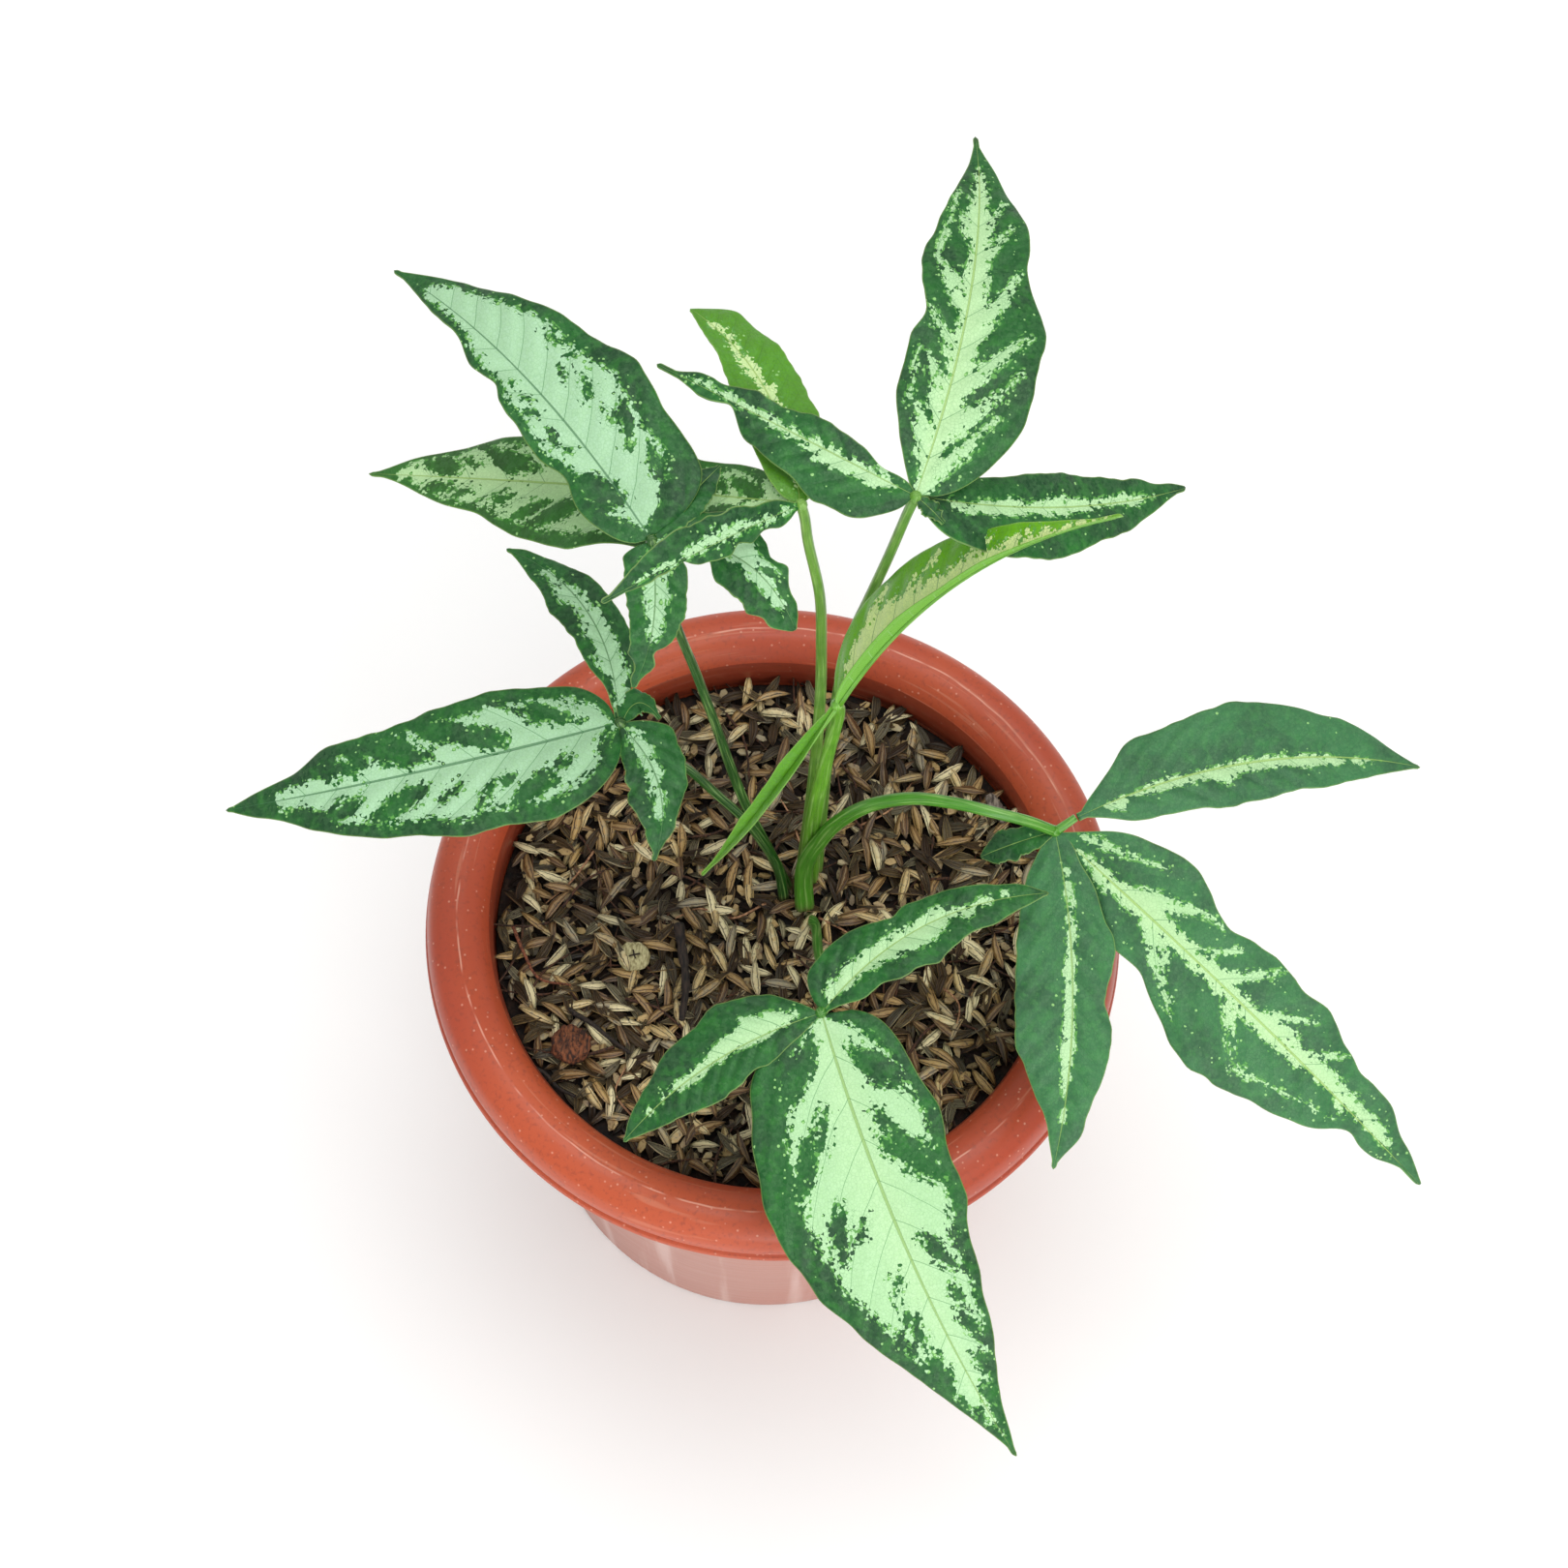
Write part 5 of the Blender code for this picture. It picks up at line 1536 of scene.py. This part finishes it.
@dataclass
class Pot:
    """The pot: a rolled-over rim, a tapered body and a floor with drain holes.

    Pairs are the radius and height of a point of its section.
    """

    height: float = 135.0
    crest: float = 76.8  # radius of the rim's highest ring
    foot: float = 57.4
    wall: float = 2.0
    under_rim: tuple = (70.4, 123.0)
    inside: tuple = ((68.4, 123.0), (68.3, 126.4), (68.6, 128.3), (69.3, 130.2), (70.6, 132.2), (72.4, 133.8),
                     (74.6, 134.7))
    outside: tuple = ((79.0, 134.75), (81.2, 133.8), (83.2, 132.0), (84.2, 129.6), (84.5, 127.2),
                      (84.35, 126.2))
    band: tuple = ((83.9, 125.8), (83.8, 125.5), (84.3, 125.1), (84.75, 124.9), (85.0, 124.4), (85.0, 123.5),
                   (84.6, 123.1))
    hollow: tuple = ((83.2, 123.0), (82.4, 127.0), (80.4, 131.0), (76.8, 132.6), (72.6, 130.6))
    floor: float = 5.0
    pad: float = 22.0  # radius of the round foot under the middle
    channel: tuple = (51.0, 2.2)  # the hollow around it
    hole: float = 4.0
    hole_circle: float = 38.0
    hole_sides: int = 32
    holes: int = 6
    punch: float = 20.0  # height of what cuts a hole
    steps: int = 240
    sharp: float = 38.0  # degrees from which an edge is shaded sharp

    def find_section(self) -> list[tuple[float, float]]:
        """The section from the middle of the floor up the inside, over the rim and down to the foot's middle.

        Returns:
            Radius and height of each point.
        """
        slope = (self.under_rim[0] - self.foot) / self.under_rim[1]
        inner, crest = self.foot - self.wall, (self.crest, self.height)
        return [
            (0.0, self.floor), (inner + slope * self.floor - 1.0, self.floor),
            *((inner + slope * level, level) for level in (self.floor + 1, 40, 80, 110)),
            *smooth_route((*self.inside, crest), 4)[:-1], *smooth_route((crest, *self.outside), 4),
            *self.band, *smooth_route((*self.hollow, self.under_rim), 4),
            *((self.foot + slope * level, level) for level in (110, 90, 70, 50, 30, 14, 4, 2)),
            (self.foot - 0.2, 0.5), (self.foot - 1.0, 0.0), (self.channel[0] + 1, 0.0), self.channel,
            (self.pad + 1, self.channel[1]), (self.pad, 0.0), (0.0, 0.0)]

    def make_tree(self) -> bpy.types.GeometryNodeTree:
        """Builds the node group that turns a section and pierces the floor.

        Returns:
            The group, with named inputs.
        """
        tree, g, (section, crest, steps, hole, depth, circle, holes, lift, turn, finish) = new_group(
            "turn and pierce", Section="Geometry", Crest="Float", Steps="Int", Hole="Float", Depth="Float",
            Circle="Float", Holes="Int", Lift="Vector", Turn="Vector", Finish="Material")
        ring = g.add("GeometryNodeCurvePrimitiveCircle", put={"Resolution": steps, "Radius": crest})
        blank = g.add("GeometryNodeCurveToMesh", ring, g.add("GeometryNodeMeshToCurve", section))
        blank = g.add("GeometryNodeMergeByDistance", blank, put={"Distance": 0.02 * MM})
        places = g.add("GeometryNodeMeshCircle", put={"Vertices": holes, "Radius": circle})
        places = g.add("GeometryNodeTransform", places, put={"Translation": lift, "Rotation": turn})
        punch = g.add("GeometryNodeMeshCylinder",
                      put={"Vertices": self.hole_sides, "Radius": hole, "Depth": depth})
        punches = g.add("GeometryNodeInstanceOnPoints", places, put={"Instance": punch})
        punches = g.add("GeometryNodeRealizeInstances", punches)
        pierced = g.add("GeometryNodeMeshBoolean", blank, punches, operation="DIFFERENCE", solver="EXACT")
        pierced = g.add("GeometryNodeSetShadeSmooth", pierced)
        g.add("NodeGroupOutput", g.add("GeometryNodeSetMaterial", pierced, put={"Material": finish}))
        return tree

    def make(self, finish: bpy.types.Material) -> bpy.types.Object:
        """Turns the section and pierces the drain holes.

        Args:
            finish: the moulded plastic.

        Returns:
            The pot, which stands for its node.
        """
        points = [((radius - self.crest) * MM, -level * MM, 0.0)
                  for radius, level in reversed(self.find_section())]
        mesh = bpy.data.meshes.new("section")
        mesh.from_pydata(points, [(index, index + 1) for index in range(len(points) - 1)], [])
        section = put_in_scene("section", mesh)
        made = run_group("pot_dressed", section, self.make_tree(), Crest=self.crest * MM, Steps=self.steps,
                         Hole=self.hole * MM, Depth=self.punch * MM, Circle=self.hole_circle * MM,
                         Holes=self.holes, Lift=(0.0, 0.0, self.floor / 2 * MM),
                         Turn=(0.0, 0.0, math.pi / self.holes), Finish=finish)
        bpy.data.objects.remove(section, do_unlink=True)
        made.data.set_sharp_from_angle(angle=math.radians(self.sharp))
        return made


@dataclass(frozen=True)
class Chunk:
    """A rough lump that lies on the mix: a ball that is squared off and dented."""

    node: str
    slot: str
    size: tuple  # length, width and height
    place: tuple
    heading: float  # the way that it points, in degrees
    rough: float  # depth of its dents
    square: float  # 1 for round, less for boxy
    finish: DryMatter
    perch: float = 3.0  # how far the husks hold it above the mix
    rows: int = 18
    sides: int = 28

    def make(self, mix: Mix) -> None:
        """Builds and dresses the lump.

        Args:
            mix: what it lies on.
        """
        name, bands = self.node + "_dressed", math.pi * np.arange(self.rows + 1) / self.rows
        ball, faces = turned([(math.sin(band), math.cos(band)) for band in bands], self.sides)
        ball = np.sign(ball) * np.abs(ball) ** self.square
        body = ball * np.array(self.size) / 2
        dents = np.array([dent(*(corner * 0.55 + (3, 1, len(name)))) for corner in body])
        body = body * (1 - self.rough * 0.12) + unit(ball) * (dents * self.rough * 0.5)[:, None]
        body = body @ np.array(Matrix.Rotation(math.radians(self.heading), 3, "Z")).T
        level = mix.top(*self.place) + self.perch + self.size[2] / 2
        made = Shell().add(body + (*self.place, level), faces).build(name, self.finish.make())
        dress(made, self.slot, self.node)


@dataclass(frozen=True)
class Threads:
    """Thin roots, sticks or fibres that lie over the husks."""

    name: str
    routes: tuple
    finish: DryMatter
    radius: float
    rise: float  # how high they lie above the mix

    def make(self, mix: Mix) -> None:
        """Builds and dresses them as one piece.

        Args:
            mix: what they lie on.
        """
        shell = Shell()
        for number, thread in enumerate(self.routes):
            route = smooth_route([(x, y, mix.top(x, y) + self.rise + 0.5 * math.sin(number + index * 2.2))
                                  for index, (x, y) in enumerate(thread)], 8)
            shell.add(*swept(route, plain_round(self.radius, self.radius / 2), 6)[:2])
        dress(shell.build(self.name, self.finish.make()), "rice_husk_mix")


@dataclass
class LoosePieces:
    """What lies on the mix: a wood disc, a twig, a bark chip, a clay lump, surface roots and dark sticks."""

    mix: Mix
    disc: Chunk = Chunk(  # sun-bleached sapwood: pale, with grey-green in its grain
        "wood_disc", "dry_wood", (8.6, 8.6, 2.4), (-33.5, -9.5), 15.0, 0.9, 0.9,
        DryMatter("weathered wood", "BDB387", "8A7F57", 0.5, 3.0))
    chip: Chunk = Chunk(  # old outer bark: grey ridges with dark, long cracks
        "bark_chip", "grey_bark", (9.0, 3.2, 2.2), (54, 34), 122.0, 0.6, 0.5,
        DryMatter("weathered bark", "8A7D70", "3B322B", 0.5, 5.0), perch=4.6)
    lump: Chunk = Chunk(  # iron-rich clay: a red-brown crust that breaks dark
        "clay_lump", "dry_clay", (13.0, 13.5, 7.5), (-47.5, -34), 60.0, 2.6, 0.85,
        DryMatter("dry clay", "7E4728", "2A140B", 0.6, 5.0))
    twig: tuple = ((-23, -1.5), (-20.6, -16.5), (-21, -26.5))
    twig_radius: float = 1.35
    twig_rise: float = 6.51  # how high its middle lies above the mix
    mark: tuple = (((-1.3, -0.5), (0, 0), (1.4, 0.3)), ((-0.3, 1.2), (0, 0), (0.4, -1.1)))
    mark_radius: float = 0.22
    threads: tuple = (
        Threads("surface_roots", (
            ((11, 3), (17, 0), (22, -3), (27, -1)), ((9, -1), (15, -4), (21, -2)),
            ((-2, 6), (-10, 2), (-18, 4), (-24, 1)), ((6, 22), (2, 32), (-4, 40)),
            ((-30, -52), (-36, -45), (-34, -38)), ((40, -12), (46, -18), (45, -26)),
            ((20, 28), (28, 33), (33, 41)), ((-45, 18), (-50, 10), (-56, 4))),
            DryMatter("dry root", "B88A66", "7A5138", 0.8), 0.32, 3.6),
        Threads("dark_sticks", (
            ((-63.7, -29), (-62.1, -32), (-59.5, -36.3), (-57.2, -39.2), (-53.6, -40.8), (-49.8, -44.3),
             (-45.7, -46.6)), ((-48.7, -24.5), (-42.4, -28), (-38.7, -30.8), (-33.1, -35.1))),
            DryMatter("stick bark", "352820", "120C09", 0.6), 0.75, 5.0),
        Threads("red_fibre", (((-63.5, -3.2), (-60.5, -9.9), (-56.3, -16.3), (-48.4, -18)),),
                DryMatter("red bark fibre", "8A4F33", "4A2416", 0.6), 0.5, 5.0))

    def make_twig(self) -> None:
        """Builds and dresses the bent, knobbly twig."""
        level = self.mix.top(*self.twig[0]) + self.twig_rise

        def knobbly(share: float, angles: np.ndarray) -> np.ndarray:
            """Finds the twig's radius with its buds and cracks.

            Args:
                share: share of its length.
                angles: directions around it.

            Returns:
                The radius in each direction.
            """
            bud = 0.12 * math.sin(share * 23) + 0.1 * math.sin(share * 51)
            crack = 0.06 * np.cos(3 * angles + share * 9)
            return self.twig_radius * (1 - 0.35 * share) * (0.95 + 0.9 * bud + crack)

        corners, faces, _ = swept(smooth_route([(x, y, level) for x, y in self.twig], 14), knobbly, 14)
        bark = DryMatter("twig bark", "352820", "120C09", 0.6, 4.0).make()
        dress(Shell().add(corners, faces).build("twig_dressed", bark), "dark_twig", "twig")

    def make_mark(self) -> None:
        """Builds and dresses the dark cross of pith on the disc."""
        place, shell = self.disc.place, Shell()
        middle = np.array((*place, self.mix.top(*place) + self.disc.perch + self.disc.size[2] - 0.1))
        for crack in self.mark:
            route = smooth_route([middle + (x, y, 0) for x, y in crack], 3)
            shell.add(*swept(route, plain_round(self.mark_radius, self.mark_radius), 6)[:2])
        dress(shell.build("disc_mark", DryMatter("dark pith", "3A3020", "241B10", 0.5).make()), "dry_wood")

    def make(self) -> None:
        """Builds and dresses all of them."""
        self.disc.make(self.mix)
        self.make_mark()
        self.make_twig()
        for piece in (self.chip, self.lump, *self.threads):
            piece.make(self.mix)


@dataclass(frozen=True)
class Lamp:
    """A round soft light, in metres and watts."""

    name: str
    place: tuple
    size: float
    power: float

    def make(self, target: tuple) -> None:
        """Hangs the lamp.

        Args:
            target: where it shines.
        """
        data = bpy.data.lights.new(self.name, "AREA")
        data.shape, data.size, data.energy = "DISK", self.size, self.power
        lamp = bpy.data.objects.new(self.name, data)
        lamp.location = self.place
        lamp.rotation_euler = (Vector(target) - Vector(self.place)).to_track_quat("-Z", "Y").to_euler()
        bpy.context.scene.collection.objects.link(lamp)


@dataclass(frozen=True)
class Studio:
    """A pale floor, soft light and the photograph's view."""

    elevation: float = 65.9  # degrees that the camera looks down
    distance: float = 1100.0
    lens: float = 102.67
    sensor: float = 36.0
    far: float = 20.0  # metres that the camera sees
    target: tuple = (1.1, 34.0, 135.0)
    tilt: float = 2.6  # degrees that the camera is turned about its view
    floor: float = 8.0  # metres
    paper: str = "F6F6F4"
    sky: str = "F8F9FB"
    glow: tuple = (0.46, 0.9)  # the sky's strength low down and high up
    lit: tuple = (0, 0, 0.2)  # metres; where the lamps point
    lamps: tuple = (Lamp("overhead", (0.2, 0.25, 1.8), 1.4, 13.0),
                    Lamp("front fill", (0.75, -1.4, 1.2), 0.9, 10.0),
                    Lamp("window", (0.15, -1.6, 0.55), 0.6, 6.5))

    def make_camera(self) -> None:
        """Sets the camera."""
        data = bpy.data.cameras.new("photo view")
        data.lens, data.sensor_width, data.clip_end = self.lens, self.sensor, self.far
        rise, tilt = math.radians(self.elevation), math.radians(self.tilt)
        forward = Vector((0, math.cos(rise), -math.sin(rise)))
        right, up = Vector((1, 0, 0)), Vector((0, math.sin(rise), math.cos(rise)))
        across = right * math.cos(tilt) + up * math.sin(tilt)
        above = up * math.cos(tilt) - right * math.sin(tilt)
        place = Matrix.Translation((Vector(self.target) - forward * self.distance) * MM)
        camera = bpy.data.objects.new("photo view", data)
        camera.matrix_world = place @ Matrix((across, above, -forward)).transposed().to_4x4()
        bpy.context.scene.collection.objects.link(camera)
        bpy.context.scene.camera = camera

    def make_floor(self) -> None:
        """Lays the floor."""
        finish, g = new_material("studio paper")
        tooth = g.add("TexNoise", g.add("TexCoord", out="Object"), None, 30.0)
        g.finish(linear(self.paper), 0.9, tooth, 0.1, 0.02)
        bpy.ops.mesh.primitive_plane_add(size=self.floor)
        floor = bpy.context.object
        floor.name = "studio_floor"
        floor.data.materials.append(finish)

    def make_light(self) -> None:
        """Hangs the lamps in an even pale surrounding, which is darker low down."""
        world = bpy.data.worlds.new("studio")
        world.use_nodes = True
        g = Graph(world.node_tree)
        height = g.add("SeparateXYZ", g.add("TexCoord", out="Generated"), out=2)
        glow = g.add("MapRange", height, -0.1, 0.9, *self.glow, **SMOOTH)
        g.fill(world.node_tree.nodes["Background"], {"Color": linear(self.sky), "Strength": glow})
        bpy.context.scene.world = world
        for lamp in self.lamps:
            lamp.make(self.lit)
        bpy.context.scene.view_settings.view_transform = "Standard"

    def make(self) -> None:
        """Sets up the whole studio."""
        self.make_camera()
        self.make_floor()
        self.make_light()


def main() -> None:
    """Builds every piece in order."""
    logging.basicConfig(level=logging.INFO, format="%(name)s: %(message)s")
    Studio().make()
    dress(Pot().make(MouldedPlastic().make()), "terracotta_plastic", "pot")
    mix = Mix()
    mix.make()
    stalk_skin, leaf_skin = StalkSkin().make(), LeafBlade().make()
    for name, side in (("stalks_main", False), ("stalks_side", True)):
        clump = Stalks(name, tuple(leaf for leaf in LEAVES if leaf.side_shoot == side))
        dress(clump.make(stalk_skin), "leaf_stalk", name)
    for number, leaf in enumerate(LEAVES):
        slot = "young_leaf" if leaf is YOUNG else "variegated_leaf"
        dress(Blade(leaf, number).make(leaf_skin, stalk_skin), slot, leaf.node)
    LoosePieces(mix).make()


if __name__ == "__main__":
    main()
